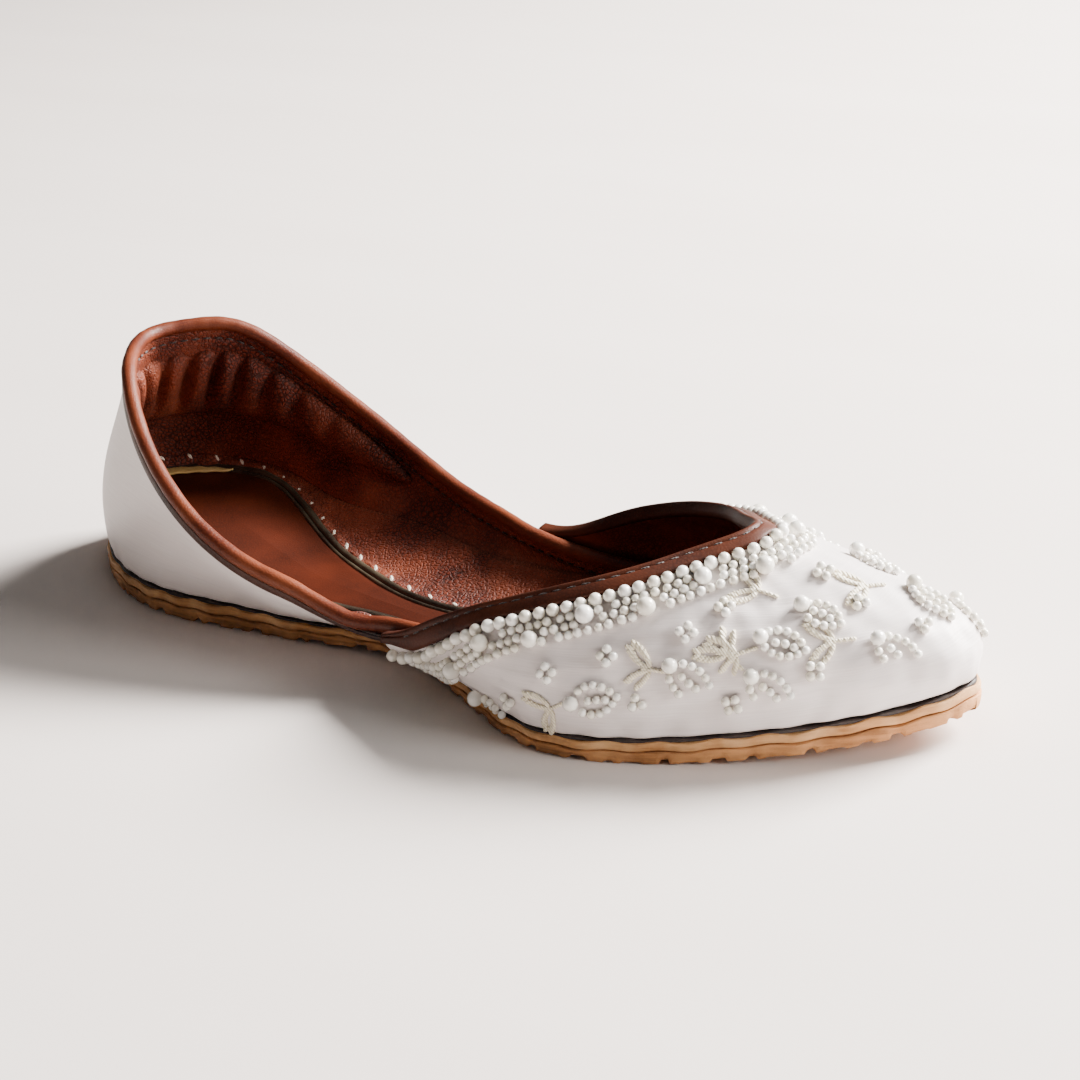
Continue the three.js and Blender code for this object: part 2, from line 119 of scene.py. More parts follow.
room = bpy.data.worlds.new("room")
room.use_nodes = True
room_light = room.node_tree.nodes["Background"]
room_light.inputs["Color"].default_value = ROOM_COLOUR
room_light.inputs["Strength"].default_value = ROOM_STRENGTH
bpy.context.scene.world = room
print(len(PANELS), "panels and the room's own light")

# %% [markdown]
# ## Two small helpers for materials
#
# Colours are written as they are seen, as sRGB hex values, and one function turns them into the linear
# values that a shader adds up. A second function adds one node with its settings and links, so that a
# material reads like a recipe: texture, mix, bump, shader. In every recipe a Mix node's sockets are 0 for
# the share and 6 and 7 for the two colours, and a Math node's are 0, 1 and 2.

# %% Colour and nodes
def linear(hex_colour):
    """An sRGB hex value as linear RGBA."""
    channels = [int(hex_colour[i:i + 2], 16) / 255 for i in (1, 3, 5)]
    straight = 0.04045        # the curve's dark end is a straight line
    return tuple(c / 12.92 if c <= straight else ((c + 0.055) / 1.055) ** 2.4 for c in channels) + (1.0,)


def add(tree, kind, sockets, **settings):
    """Adds a node. sockets maps an input's name or number to a value, or to an output to link to it."""
    made = tree.nodes.new("ShaderNode" + kind)
    for setting, value in settings.items():
        setattr(made, setting, value)
    for socket, value in sockets.items():
        if isinstance(value, bpy.types.NodeSocket):
            tree.links.new(value, made.inputs[socket])
        else:
            made.inputs[socket].default_value = value
    return made


def new_material(name):
    """An empty material and its node tree."""
    material = bpy.data.materials.new(name)
    material.use_nodes = True
    material.node_tree.nodes.clear()
    return material, material.node_tree


print("white is", linear("#FFFFFF"))

# %% The floor: matt painted board
# Painted board is smooth and dull. What the eye gets is one even pale tone with very faint brush streaks,
# about 60 mm wide and six times as long.
board, tree = new_material("painted_board_matt")
place = add(tree, "TexCoord", {})
stretch = add(tree, "Mapping", {"Vector": place.outputs["Object"], "Scale": (1.5, 9.0, 1.0)})
streaks = add(tree, "TexNoise", {"Vector": stretch.outputs[0], "Scale": 2.0, "Detail": 3.0})
tone = add(tree, "Mix", {
    0: streaks.outputs[0], 6: linear("#DFD6D0"), 7: linear("#E8E1DC")}, data_type="RGBA")
paint = add(tree, "BsdfPrincipled", {"Base Color": tone.outputs[2], "Roughness": 0.62})
add(tree, "OutputMaterial", {"Surface": paint.outputs[0]})

FLOOR_EDGE = 6.0
bm = bmesh.new()
bmesh.ops.create_grid(bm, x_segments=1, y_segments=1, size=FLOOR_EDGE / 2)
floor_mesh = bpy.data.meshes.new("floor")
bm.to_mesh(floor_mesh)
bm.free()
floor_mesh.materials.append(board)
floor = bpy.data.objects.new("floor", floor_mesh)
bpy.context.collection.objects.link(floor)
print("floor", FLOOR_EDGE, "m square")

# %% [markdown]
# ## The last
#
# Every piece of the upper was drawn over one last, so one function of the last's surface places them all.
# The table has one row for each meridian, from the middle of the heel round to the middle of the toe. A
# meridian is a cubic curve from the sole's outline up to the top line. Smooth columns between the rows turn
# the table into a surface with no visible steps. The numbers are millimetres from the heel's back.

# %% The table of meridians
# sole_x, sole_y: where the meridian stands. top_x, top_y, top_z: where it ends at the top line.
# rise, flare: how it first climbs and swells out. run, fall: how it comes in below the top.
# quarter, vamp: how much of the meridian each of the two covers.
LAST_COLUMNS = (
    "sole_x", "sole_y", "top_x", "top_y", "top_z", "rise", "flare", "run", "fall", "quarter", "vamp")
LAST_ROWS = (
    (0, 0, 21.9, 0, 64, 21.1, 4.5, 2.4, 17.3, 1, 0),
    (7.1, 14.4, 28.2, 12.5, 64, 21.1, 4.5, 2.4, 17.3, 1, 0),
    (23.7, 25, 37.8, 22.6, 61.3, 19.2, 4.5, 2.4, 16.3, 1, 0),
    (47.6, 28.8, 53.1, 31.7, 49.7, 15.4, 5.5, 1.9, 14.4, 1, 0),
    (74.7, 24, 75.7, 36.5, 35, 10.6, 8.6, 1.4, 10.6, 1, 0),
    (96.8, 20.2, 96.8, 34.6, 25.9, 6.7, 10.6, 1.4, 7.7, 1, 0),
    (116, 17.8, 115.5, 31.2, 21.6, 4.8, 10.6, 1.4, 5.8, 1, 0.75),
    (135.2, 21.6, 132.3, 29.3, 19.7, 5.8, 9.2, 1.9, 5.8, 0.92, 0.95),
    (155.4, 31.7, 148.2, 28.3, 23.5, 7.2, 6.4, 4.3, 5.8, 0.48, 0.97),
    (177.5, 40.3, 160.7, 28.3, 27.8, 11.5, 3.4, 9.6, 5.8, 0.35, 1),
    (200.5, 37, 175.5, 25, 32.6, 13.4, 2.9, 15.4, 6.7, 0.3, 1),
    (222.6, 28.3, 189.9, 17.8, 36.3, 13.9, 3.6, 23.5, 8.2, 0.3, 1),
    (240.8, 19.7, 197.6, 10.6, 38.4, 13.4, 5, 31, 9.6, 0.3, 1),
    (254.3, 9.1, 203.4, 5, 40.3, 12.5, 6.6, 37, 11.5, 0.3, 1),
    (258.5, 0, 206.7, 0, 41.3, 12.5, 7, 38, 12, 0.3, 1),
)
SOLE_LENGTH = 258.5
# how far the foot's curve carries the middle of the last outwards
LAST_SWING = 13.5
# the underside lifts at the waist and at the toe
ARCH_RISE = 1.5
ARCH_MIDDLE = 115.0
ARCH_REACH = 34.0
TOE_SPRING = 6.5
SPRING_START = 192.5
# the layers under the insole are pared thin at the waist
WAIST_SKIVE = 0.34
SKIVE_MIDDLE = 118.0
SKIVE_BACK = 60.0
SKIVE_FRONT = 150.0
# the outer side's top line dips lower there
OUTER_DIP = 4.1
DIP_MIDDLE = 122.0
DIP_REACH = 24.0
DIP_FROM = 8.0
DIP_FULL = 12.0
print(len(LAST_ROWS), "meridians on a", SOLE_LENGTH, "mm sole")


# %% Smooth columns
def smooth(t):
    """Eases a share from 0 to 1."""
    t = np.clip(t, 0.0, 1.0)
    return t * t * (3 - 2 * t)


def spline(knots, values):
    """A natural cubic spline through the values, as a function of a number or an array."""
    knots = np.array(knots, float)
    values = np.array(values, float)
    step = np.diff(knots)
    slope = np.diff(values) / step
    system = np.eye(len(knots))
    bend = np.zeros(len(knots))
    for i in range(1, len(knots) - 1):
        system[i, i - 1:i + 2] = (step[i - 1], 2 * (step[i - 1] + step[i]), step[i])
        bend[i] = 6 * (slope[i] - slope[i - 1])
    second = np.linalg.solve(system, bend)

    def at(where):
        i = np.clip(np.searchsorted(knots, where) - 1, 0, len(step) - 1)
        b = (where - knots[i]) / step[i]
        a = 1 - b
        cubic = (a ** 3 - a) * second[i] + (b ** 3 - b) * second[i + 1]
        return a * values[i] + b * values[i + 1] + cubic * step[i] ** 2 / 6

    return at


# The rows go on as their own mirror image past the heel and the toe, so the surface crosses there smoothly.
MIRRORED = 3
TOE_ROW = len(LAST_ROWS) - 1
LOOP = [(i, -1) for i in range(MIRRORED, 0, -1)]
LOOP += [(i, 1) for i in range(TOE_ROW + 1)]
LOOP += [(i, -1) for i in range(TOE_ROW - 1, TOE_ROW - 1 - MIRRORED, -1)]
knots = [0.0]
for (i, side_i), (j, side_j) in zip(LOOP, LOOP[1:]):
    along = LAST_ROWS[j][0] - LAST_ROWS[i][0]
    across = side_j * LAST_ROWS[j][1] - side_i * LAST_ROWS[i][1]
    knots.append(knots[-1] + math.sqrt(math.hypot(along, across)))

column = {}
for c, name in enumerate(LAST_COLUMNS):
    flips = name in ("sole_y", "top_y")
    column[name] = spline(knots, [LAST_ROWS[i][c] * (side if flips else 1) for i, side in LOOP])
row_knot = spline(range(TOE_ROW + 1), knots[MIRRORED:MIRRORED + TOE_ROW + 1])
HEEL_KNOT = float(row_knot(0))
TOE_KNOT = float(row_knot(TOE_ROW))
print("knots run from", round(HEEL_KNOT, 2), "to", round(TOE_KNOT, 2))

# %% The sole's outline, the ground line and the swing
OUTSOLE = 3.2
MIDSOLE = 2.0
RAND = 0.8
GAP = 0.3
SOLE_TOP = OUTSOLE + MIDSOLE + RAND + 3 * GAP
SOLE_EDGE = 1.2


def ground(x):
    """How high the sole's underside is above the floor."""
    arch = smooth(1 - np.abs(x - ARCH_MIDDLE) / ARCH_REACH)
    spring = np.clip((x - SPRING_START) / (SOLE_LENGTH - SPRING_START), 0, 1)
    return ARCH_RISE * arch + TOE_SPRING * spring ** 2


def level(height, x):
    """How high above the floor a level of the sole lies, given its height in the full stack."""
    reach = np.where(x < SKIVE_MIDDLE, SKIVE_BACK, SKIVE_FRONT)
    pared = WAIST_SKIVE * smooth(1 - np.abs(x - SKIVE_MIDDLE) / reach)
    return height - pared * np.minimum(height, SOLE_TOP) + ground(x)


def swing(x):
    """How far the foot's curve carries the last sideways."""
    share = x / SOLE_LENGTH
    return -LAST_SWING * 4 * share * (1 - share)


def outline(knot):
    """The sole's outline before the swing: x, y, and the level direction out of it."""
    step = 0.02
    tangent_x = column["sole_x"](knot + step) - column["sole_x"](knot - step)
    tangent_y = column["sole_y"](knot + step) - column["sole_y"](knot - step)
    length = np.hypot(tangent_x, tangent_y)
    return column["sole_x"](knot), column["sole_y"](knot), -tangent_y / length, tangent_x / length


# The frame's origin is the middle of the shoe's box: the outsole's own box says where the heel's back is.
OUTLINE_STEPS = 400
heel_to_toe = np.linspace(HEEL_KNOT, TOE_KNOT, OUTLINE_STEPS)
rim_x, rim_y = outline(heel_to_toe)[:2]
low_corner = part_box("outsole")[0]
SHIFT = np.array((
    low_corner[0] - MM * rim_x.min(),
    low_corner[1] - MM * (swing(rim_x) - rim_y).min(),
    0.0,
))
print("the heel's back stands at x =", round(SHIFT[0], 4))


def in_frame(side, x, y, z):
    """A point of the last, in millimetres, as a place in the frame, in metres."""
    return MM * np.stack(np.broadcast_arrays(x, side * y + swing(x), z), axis=-1) + SHIFT


# %% The surface of the last
WALL = 2.0
VAMP_LAP = 1.8                # the vamp's wings lie this far out, over the quarters
LAP_START = row_knot(5)       # where the foot of the wall starts to move in for them
LAP_END = row_knot(8.5)
FOOT_BLEND = 0.35             # below this share of the way up the normals are turned towards level
FOOT_LEAN = 20.0              # how far outside the outline a meridian's upper end aims


def last_point(knot, part):
    """A point of the bare last: knot says which meridian, part how far up it."""
    foot_x, foot_y, out_x, out_y = outline(knot)
    foot_z = level(SOLE_TOP, foot_x + SOLE_EDGE)
    inset = SOLE_EDGE + VAMP_LAP * smooth((knot - LAP_START) / (LAP_END - LAP_START))
    foot_x = foot_x - inset * out_x
    foot_y = foot_y - inset * out_y
    top_x, top_y, top_z = (column[name](knot) for name in ("top_x", "top_y", "top_z"))
    toward_x = foot_x - top_x + FOOT_LEAN * out_x
    toward_y = foot_y - top_y + FOOT_LEAN * out_y
    reach = np.hypot(toward_x, toward_y)
    flare, rise = column["flare"](knot), column["rise"](knot)
    run, fall = column["run"](knot) / reach, column["fall"](knot)
    stations = (
        (foot_x, foot_y, foot_z),
        (foot_x + flare * out_x, foot_y + flare * out_y, foot_z + rise),
        (top_x + run * toward_x, top_y + run * toward_y, top_z - fall),
        (top_x, top_y, top_z),
    )
    left = 1 - part
    weights = (left ** 3, 3 * left ** 2 * part, 3 * left * part ** 2, part ** 3)
    return np.stack([sum(w * s[axis] for w, s in zip(weights, stations)) for axis in range(3)], axis=-1)


def unit(vectors):
    """Vectors of length one."""
    return vectors / np.maximum(np.linalg.norm(vectors, axis=-1, keepdims=True), 1e-9)


def last(side, knot, part, out):
    """The last's surface, moved out along its normal: a place in the frame. side is 1 for the inner side of
    the foot and -1 for the outer one."""
    side, knot, part, out = np.broadcast_arrays(side, knot, part, out)
    step = 0.01
    along = last_point(knot + step, part) - last_point(knot - step, part)
    up = last_point(knot, part + step) - last_point(knot, part - step)
    normal = unit(np.cross(up, along))
    normal[..., 2] *= smooth(part / FOOT_BLEND)
    x, y, z = np.moveaxis(last_point(knot, part) + unit(normal) * out[..., None], -1, 0)
    near_dip = smooth(1 - np.abs(x - DIP_MIDDLE) / DIP_REACH)
    dip = OUTER_DIP * near_dip * np.clip((z - DIP_FROM) / DIP_FULL, 0, 1)
    return in_frame(side, x, y, z - dip * (side < 0))


print("heel's collar at z =", round(float(last(1, HEEL_KNOT, 1.0, 0.0)[2]), 4))

# %% Measuring down from an edge
MERIDIAN_STEPS = 80


def down_from(edge, knot, distance):
    """How far up its meridian a point lies, given how far below a part's edge it is, square to the edge."""
    step = 0.01
    knot = np.asarray(knot, float)

    def top(k):
        return np.minimum(1.0, column[edge](k))

    parts = top(knot)[..., None] * (1 - np.linspace(0, 1, MERIDIAN_STEPS))
    line = last_point(knot[..., None], parts)
    steps = np.linalg.norm(np.diff(line, axis=-2), axis=-1)
    lengths = np.concatenate([np.zeros(knot.shape + (1,)), np.cumsum(steps, axis=-1)], axis=-1)
    rim = unit(last_point(knot + step, top(knot + step)) - last_point(knot - step, top(knot - step)))
    down = unit(line[..., 1, :] - line[..., 0, :])
    slant = np.linalg.norm(np.cross(rim, down), axis=-1)
    wanted = np.broadcast_to(distance, knot.shape) / slant
    each = zip(wanted.ravel(), lengths.reshape(-1, MERIDIAN_STEPS), parts.reshape(-1, MERIDIAN_STEPS))
    return np.array([np.interp(*meridian) for meridian in each]).reshape(knot.shape)


five_down = float(down_from("quarter", HEEL_KNOT, 5.0))
print("5 mm below the heel's collar is", round(five_down, 3), "of the way up")

# %% [markdown]
# ## Sheets laid on the last
#
# A shoemaker cuts flat leather and pulls it over the last. We do the same: a flat grid is the pattern, and
# each of its corners is laid at a place on the last. The grid is an operator's, so its faces are tidy and
# never have to be listed. Its real lengths are kept in a UV map, in metres, so that a weave can follow
# the cloth. Solidify then gives the sheet its thickness, away from the side that shows.

# %% Lay a sheet, thicken it, hand it over
CREASE = math.radians(40)     # flatter edges are shaded smooth
SAME_PLACE = 1e-6


def lay_sheet(name, around, up, place, flip=False):
    """A grid of around x up squares. place(t, s) says where each corner goes, t in -1..1 and s in 0..1."""
    bm = bmesh.new()
    bmesh.ops.create_grid(bm, x_segments=around, y_segments=up, size=1.0)
    flat = np.array([vert.co.xy for vert in bm.verts]).reshape(up + 1, around + 1, 2)
    spots = place(flat[..., 0], (flat[..., 1] + 1) / 2)
    middle = spots[up // 2]
    run = np.concatenate([[0], np.cumsum(np.linalg.norm(np.diff(middle, axis=0), axis=1))])
    rise = np.cumsum(np.linalg.norm(np.diff(spots, axis=0), axis=2), axis=0)
    rise = np.concatenate([np.zeros((1, around + 1)), rise])
    cloth = np.stack([np.broadcast_to(run, rise.shape), rise], axis=2).reshape(-1, 2)
    bm.verts.index_update()
    layer = bm.loops.layers.uv.new("cloth")
    for face in bm.faces:
        face.smooth = True
        for loop in face.loops:
            loop[layer].uv = cloth[loop.vert.index]
    for vert, spot in zip(bm.verts, spots.reshape(-1, 3)):
        vert.co = spot
    bmesh.ops.remove_doubles(bm, verts=bm.verts, dist=SAME_PLACE)
    bmesh.ops.dissolve_degenerate(bm, edges=bm.edges, dist=SAME_PLACE / 10)
    if flip:
        bmesh.ops.reverse_faces(bm, faces=bm.faces)
    return make_piece(name, bm)


def make_piece(name, bm):
    """A new object from a finished bmesh."""
    mesh = bpy.data.meshes.new(name)
    bm.to_mesh(mesh)
    bm.free()
    mesh.set_sharp_from_angle(angle=CREASE)
    piece = bpy.data.objects.new(name, mesh)
    bpy.context.collection.objects.link(piece)
    print(name, len(mesh.polygons), "faces")
    return piece


def thicken(piece, thickness):
    """Gives a sheet its thickness in millimetres, on the side away from its faces."""
    solid = piece.modifiers.new("thickness", "SOLIDIFY")
    solid.thickness = thickness * MM
    solid.offset = -1.0
    solid.use_even_offset = False


def hand_over(piece, material, slot, *nodes):
    """Gives a finished piece its finish and its body, and hides the solids of the frame that it stands for.
    """
    piece.data.materials.append(material)
    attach(piece, "root")
    if nodes:
        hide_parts(*nodes)


def walk(start_row, middle_knot):
    """Goes all round one end of the last: t = -1 and 1 are the ends of the two sides, 0 the middle."""
    start = row_knot(start_row)
    return lambda t: (np.where(t < 0, -1, 1), middle_knot + (start - middle_knot) * np.abs(t))


print("edges of less than", round(math.degrees(CREASE)), "degrees are shaded smooth")

# %% [markdown]
# ## The sole leather
#
# Vegetable-tanned sole leather is cut by hand, layer on layer, and its cut edge is left raw. The eye gets
# a dull tan, darker in the fibres' hollows, drawn out along the edge by the knife, and paler where the
# edge is freshly cut. Stretched noise gives the knife's streaks, a finer noise the fibres.

# %% Sole leather
def sole_leather(name, deep, mid, pale):
    """Raw cut sole leather in three tones."""
    material, tree = new_material(name)
    place = add(tree, "TexCoord", {})
    # the knife's streaks are 17 mm long and 1.1 mm high, the paler patches 11 mm, the fibre bundles 0.4 mm
    along_edge = add(tree, "Mapping", {"Vector": place.outputs["Object"], "Scale": (60.0, 60.0, 900.0)})
    knife = add(tree, "TexNoise", {
        "Vector": along_edge.outputs[0], "Scale": 1.0, "Detail": 4.0, "Roughness": 0.6})
    patches = add(tree, "TexNoise", {"Vector": place.outputs["Object"], "Scale": 90.0, "Detail": 3.0})
    fibres = add(tree, "TexNoise", {
        "Vector": place.outputs["Object"], "Scale": 1 / (0.4 * MM), "Detail": 3.0})
    streaked = add(tree, "MapRange", {"Value": knife.outputs[0], "From Min": 0.32, "From Max": 0.66})
    patched = add(tree, "MapRange", {"Value": patches.outputs[0], "From Min": 0.45, "From Max": 0.75})
    tone = add(tree, "Mix", {0: streaked.outputs[0], 6: linear(deep), 7: linear(mid)}, data_type="RGBA")
    light = add(tree, "Mix", {0: patched.outputs[0], 6: tone.outputs[2], 7: linear(pale)}, data_type="RGBA")
    height = add(tree, "Math", {0: knife.outputs[0], 1: 0.8, 2: fibres.outputs[0]}, operation="MULTIPLY_ADD")
    bump = add(tree, "Bump", {"Height": height.outputs[0], "Strength": 0.55, "Distance": 0.35 * MM})
    shader = add(tree, "BsdfPrincipled", {
        "Base Color": light.outputs[2], "Normal": bump.outputs[0], "Roughness": 0.72, "IOR": 1.45})
    add(tree, "OutputMaterial", {"Surface": shader.outputs[0]})
    return material


outsole_leather = sole_leather("sole_leather_raw_cut", "#8E5C33", "#BE8450", "#DDA068")
midsole_leather = sole_leather("sole_leather_scalloped_cut", "#A26D3E", "#CB955F", "#E6B581")
print(outsole_leather.name, midsole_leather.name)

# %% [markdown]
# ## The sole
#
# The two layers of the sole are closed skins round the same outline. A skin has one column of faces for
# each short stretch of the rim and one row for each step of its section, from the middle of its top round
# the edge to the middle of its bottom. The grid's two ends meet and are welded. The knife's work is in the
# rim: the parting line between the layers waves, and the bottom edge is notched, up to a millimetre deep.

# %% Even steps round the rim
RIM_STEPS = 880
MIDDLE = "middle"
FINE_STEPS = 4001

fine = np.linspace(-1, 1, FINE_STEPS)
fine_knot = HEEL_KNOT + (TOE_KNOT - HEEL_KNOT) * np.abs(fine)
fine_x, fine_y = outline(fine_knot)[:2]
fine_rim = in_frame(np.where(fine < 0, -1, 1), fine_x, fine_y, 0.0)
fine_length = np.concatenate([[0], np.cumsum(np.linalg.norm(np.diff(fine_rim, axis=0), axis=1))]) / MM
RIM_LENGTH = float(fine_length[-1])


def rim_at(t):
    """Even steps round the outline, from toe to heel to toe: the side, the knot and the way walked in mm."""
    walked = (t + 1) / 2 * RIM_LENGTH
    even = np.interp(walked, fine_length, fine)
    return np.where(even < 0, -1, 1), HEEL_KNOT + (TOE_KNOT - HEEL_KNOT) * np.abs(even), walked


def skin(name, section, rim_steps=RIM_STEPS, middle=lambda x: 0 * x):
    """A closed skin round the outline. section(walked) gives rows of (inset or MIDDLE, height above ground),
    and middle(x) says how far inside the foot the middle line lies."""
    rows = section(np.zeros(1))

    def place(t, s):
        side, knot, walked = rim_at(t)
        x, y, out_x, out_y = outline(knot)
        spots = []
        for i, (inset, height) in enumerate(section(walked[0])):
            if inset is MIDDLE:
                at_x, at_y = x[i], side[i] * middle(x[i])
            else:
                at_x, at_y = x[i] - inset * out_x[i], y[i] - inset * out_y[i]
            spots.append(in_frame(side[i], at_x, at_y, level(height, at_x)))
        return np.stack(spots)

    return lay_sheet(name, rim_steps, len(rows) - 1, place)


print("the rim is", round(RIM_LENGTH), "mm long")

# %% The knife's work
WAVE = RIM_LENGTH / 50        # one scallop about every 12 mm
STEP = RIM_LENGTH / 92        # one tread step about every 6.5 mm


def waves(walked):
    """The slow wave that the shears leave, from -1 to 1. Its pace changes three times round the shoe."""
    turn = 2 * math.pi * walked
    scallops = np.sin(turn / WAVE + 0.9 * np.sin(3 * turn / RIM_LENGTH))
    return 0.7 * scallops + 0.3 * np.sin(turn * 23 / RIM_LENGTH + 1)


def tread_steps(walked):
    """Each tread step is cut out square, and no two are the same height or length."""
    number = np.floor(walked / STEP)
    share = walked / STEP - number
    height = 0.6 + 0.4 * np.sin(number * 2.4)
    length = 0.5 + 0.22 * np.sin(number * 3.7 + 1)
    return height * smooth(np.minimum(share, length - share) / 0.10 + 0.5)


SHOULDER = 3.0                # the layers are flat further in than this


def outsole_section(walked):
    """Rows from the middle of the top, over the cut edge, to the middle of the bottom."""
    wave, tread = waves(walked), tread_steps(walked)
    still = np.zeros_like(walked)
    return (
        (MIDDLE, still + OUTSOLE),
        (still + SHOULDER, still + OUTSOLE),
        (0.25 + 0.1 * wave, OUTSOLE + 0.25 * wave),
        (-0.05 + 0.2 * wave, OUTSOLE - 0.3 + 0.25 * wave),
        (-0.1 + 0.25 * tread, still + 1.7),
        (0.05 + 0.45 * tread, 0.75 + 0.6 * tread),
        (0.2 + 0.5 * tread, 0.05 + 1.0 * tread),
        (1.6 + 0.6 * tread, 0.9 * tread),
        (SHOULDER + 0.6 * tread, still),
        (MIDDLE, still),
    )


outsole_layer = skin("outsole_layer", outsole_section)
hand_over(outsole_layer, outsole_leather, "outsole_leather", "outsole")

# %% The upper layer of the sole
MIDSOLE_BOTTOM = OUTSOLE + GAP


def midsole_section(walked):
    """The same parting wave below, and a scalloped edge above."""
    wave = waves(walked)
    crest = waves(walked * 2 + 40)
    still = np.zeros_like(walked)
    return (
        (MIDDLE, still + MIDSOLE_BOTTOM + MIDSOLE),
        (still + SHOULDER, still + MIDSOLE_BOTTOM + MIDSOLE),
        (0.75 + 0.1 * wave, MIDSOLE_BOTTOM + MIDSOLE + 0.3 + 0.45 * wave),
        (0.3 + 0.2 * wave, MIDSOLE_BOTTOM + MIDSOLE + 0.1 + 0.45 * wave),
        (0.05 + 0.25 * wave, MIDSOLE_BOTTOM + MIDSOLE - 0.5 + 0.4 * wave),
        (0.1 + 0.25 * wave + 0.08 * crest, MIDSOLE_BOTTOM + 0.7 + 0.3 * wave),
        (0.4 + 0.2 * wave, MIDSOLE_BOTTOM + 0.05 + 0.25 * wave),
        (still + SHOULDER, still + MIDSOLE_BOTTOM),
        (MIDDLE, still + MIDSOLE_BOTTOM),
    )


midsole_layer = skin("midsole_layer", midsole_section)
hand_over(midsole_layer, midsole_leather, "midsole_leather", "midsole")

# %% [markdown]
# ## The rand
#
# A thin strip of dark leather fills the line between the upper and the sole. Its near-black is partly the
# leather's own and partly painted shadow of the gap there. It is a ring, so its section closes on itself.
# Waxed, it gives the eye little more than a dark line with a dull shine.

# %% Rand
RAND_BOTTOM = MIDSOLE_BOTTOM + MIDSOLE + GAP
RAND_INNER = 7.5
# dark leather, near black with the painted shadow of the gap under the upper: a dark line with a grain of
# 0.8 mm
rand_leather_and_gap_shade, tree = new_material("rand_leather_dark_gap_shade")
place = add(tree, "TexCoord", {})
grain = add(tree, "TexNoise", {"Vector": place.outputs["Object"], "Scale": 1 / (0.8 * MM), "Detail": 2.0})
tone = add(tree, "Mix", {0: grain.outputs[0], 6: linear("#1C1513"), 7: linear("#352823")}, data_type="RGBA")
bump = add(tree, "Bump", {"Height": grain.outputs[0], "Strength": 0.3, "Distance": 0.15 * MM})
shader = add(tree, "BsdfPrincipled", {
    "Base Color": tone.outputs[2], "Normal": bump.outputs[0], "Roughness": 0.5, "IOR": 1.45})
add(tree, "OutputMaterial", {"Surface": shader.outputs[0]})


def rand_section(walked):
    """A thin ring whose outer edge follows the scallops softly."""
    wave = waves(walked + 4)
    still = np.zeros_like(walked)
    top = RAND_BOTTOM + RAND + 0.15
    return (
        (still + SHOULDER, still + RAND_BOTTOM + RAND),
        (1.15 - 0.15 * wave, top - 0.15 + 0.25 * wave),
        (0.8 - 0.15 * wave, top - 0.4 + 0.25 * wave),
        (0.8 - 0.15 * wave, still + RAND_BOTTOM),
        (still + SHOULDER, still + RAND_BOTTOM),
        (still + RAND_INNER, still + RAND_BOTTOM),
        (still + RAND_INNER, still + RAND_BOTTOM + RAND),
        (still + SHOULDER, still + RAND_BOTTOM + RAND),
    )


rand_strip = skin("rand_strip", rand_section)
hand_over(rand_strip, rand_leather_and_gap_shade, "dark_rand", "rand")

# %% [markdown]
# ## The satin
#
# The face of the upper is off-white duchess satin, woven with long floats and backed with thin leather. What
# it gives the eye is a broad soft sheen, fine lines of thread running round the shoe, and now and then a
# thicker slub. The pattern follows the cloth, so it reads the UV map. Real threads are 0.1 mm apart, too
# fine to show, so they are drawn 0.45 mm apart.

# %% Duchess satin
satin, tree = new_material("duchess_satin_off_white")
cloth = add(tree, "UVMap", {}, uv_map="cloth")
along_weft = add(tree, "Mapping", {
    "Vector": cloth.outputs[0], "Scale": (1 / (14 * MM), 1 / (0.45 * MM), 1.0)})
threads = add(tree, "TexNoise", {
    "Vector": along_weft.outputs[0], "Scale": 1.0, "Detail": 2.0, "Roughness": 0.6})
# a slub is about 30 mm long and 1.6 mm wide
along_slub = add(tree, "Mapping", {
    "Vector": cloth.outputs[0], "Scale": (1 / (30 * MM), 1 / (1.6 * MM), 1.0)})
slubs = add(tree, "TexNoise", {"Vector": along_slub.outputs[0], "Scale": 1.0, "Detail": 1.0})
slub = add(tree, "MapRange", {"Value": slubs.outputs[0], "From Min": 0.6, "From Max": 0.75})
place = add(tree, "TexCoord", {})
# the satin's soft mottled shading is painted here as 25 mm clouds between two off-white tones
satin_painted_mottle = add(tree, "TexNoise", {"Vector": place.outputs["Object"], "Scale": 1 / (25 * MM), "Detail": 2.0})
mottled_shade_tone = add(tree, "Mix", {
    0: satin_painted_mottle.outputs[0], 6: linear("#EDE5E3"), 7: linear("#F9F4F1")}, data_type="RGBA")
thread_tone = add(tree, "Mix", {
    0: threads.outputs[0], 6: linear("#DDD3D2"), 7: mottled_shade_tone.outputs[2]}, data_type="RGBA")
height = add(tree, "Math", {0: slub.outputs[0], 1: 0.35, 2: threads.outputs[0]}, operation="MULTIPLY_ADD")
bump = add(tree, "Bump", {"Height": height.outputs[0], "Strength": 0.5, "Distance": 0.14 * MM})
shader = add(tree, "BsdfPrincipled", {
    "Base Color": thread_tone.outputs[2],
    "Normal": bump.outputs[0],
    "Roughness": 0.42,
    "IOR": 1.5,
    "Sheen Weight": 0.25,
    "Sheen Roughness": 0.4,
    "Sheen Tint": linear("#FFF8F4"),
})
add(tree, "OutputMaterial", {"Surface": shader.outputs[0]})
print(satin.name, "with", len(tree.nodes), "nodes")

# %% [markdown]
# ## Folds
#
# A worn or freshly lasted shoe has a few soft folds, always where the leather is drawn in: round the toe,
# and along the sole, where every stitch pulls a little. Each fold is a short line on the last with a width
# and a depth, and a bell curve across it. It moves the sheet itself, so the light finds it.

# %% Folds
FOLD_STEPS = 14
STITCH_PITCH = 7.8
PUCKER_PITCH = 11.0


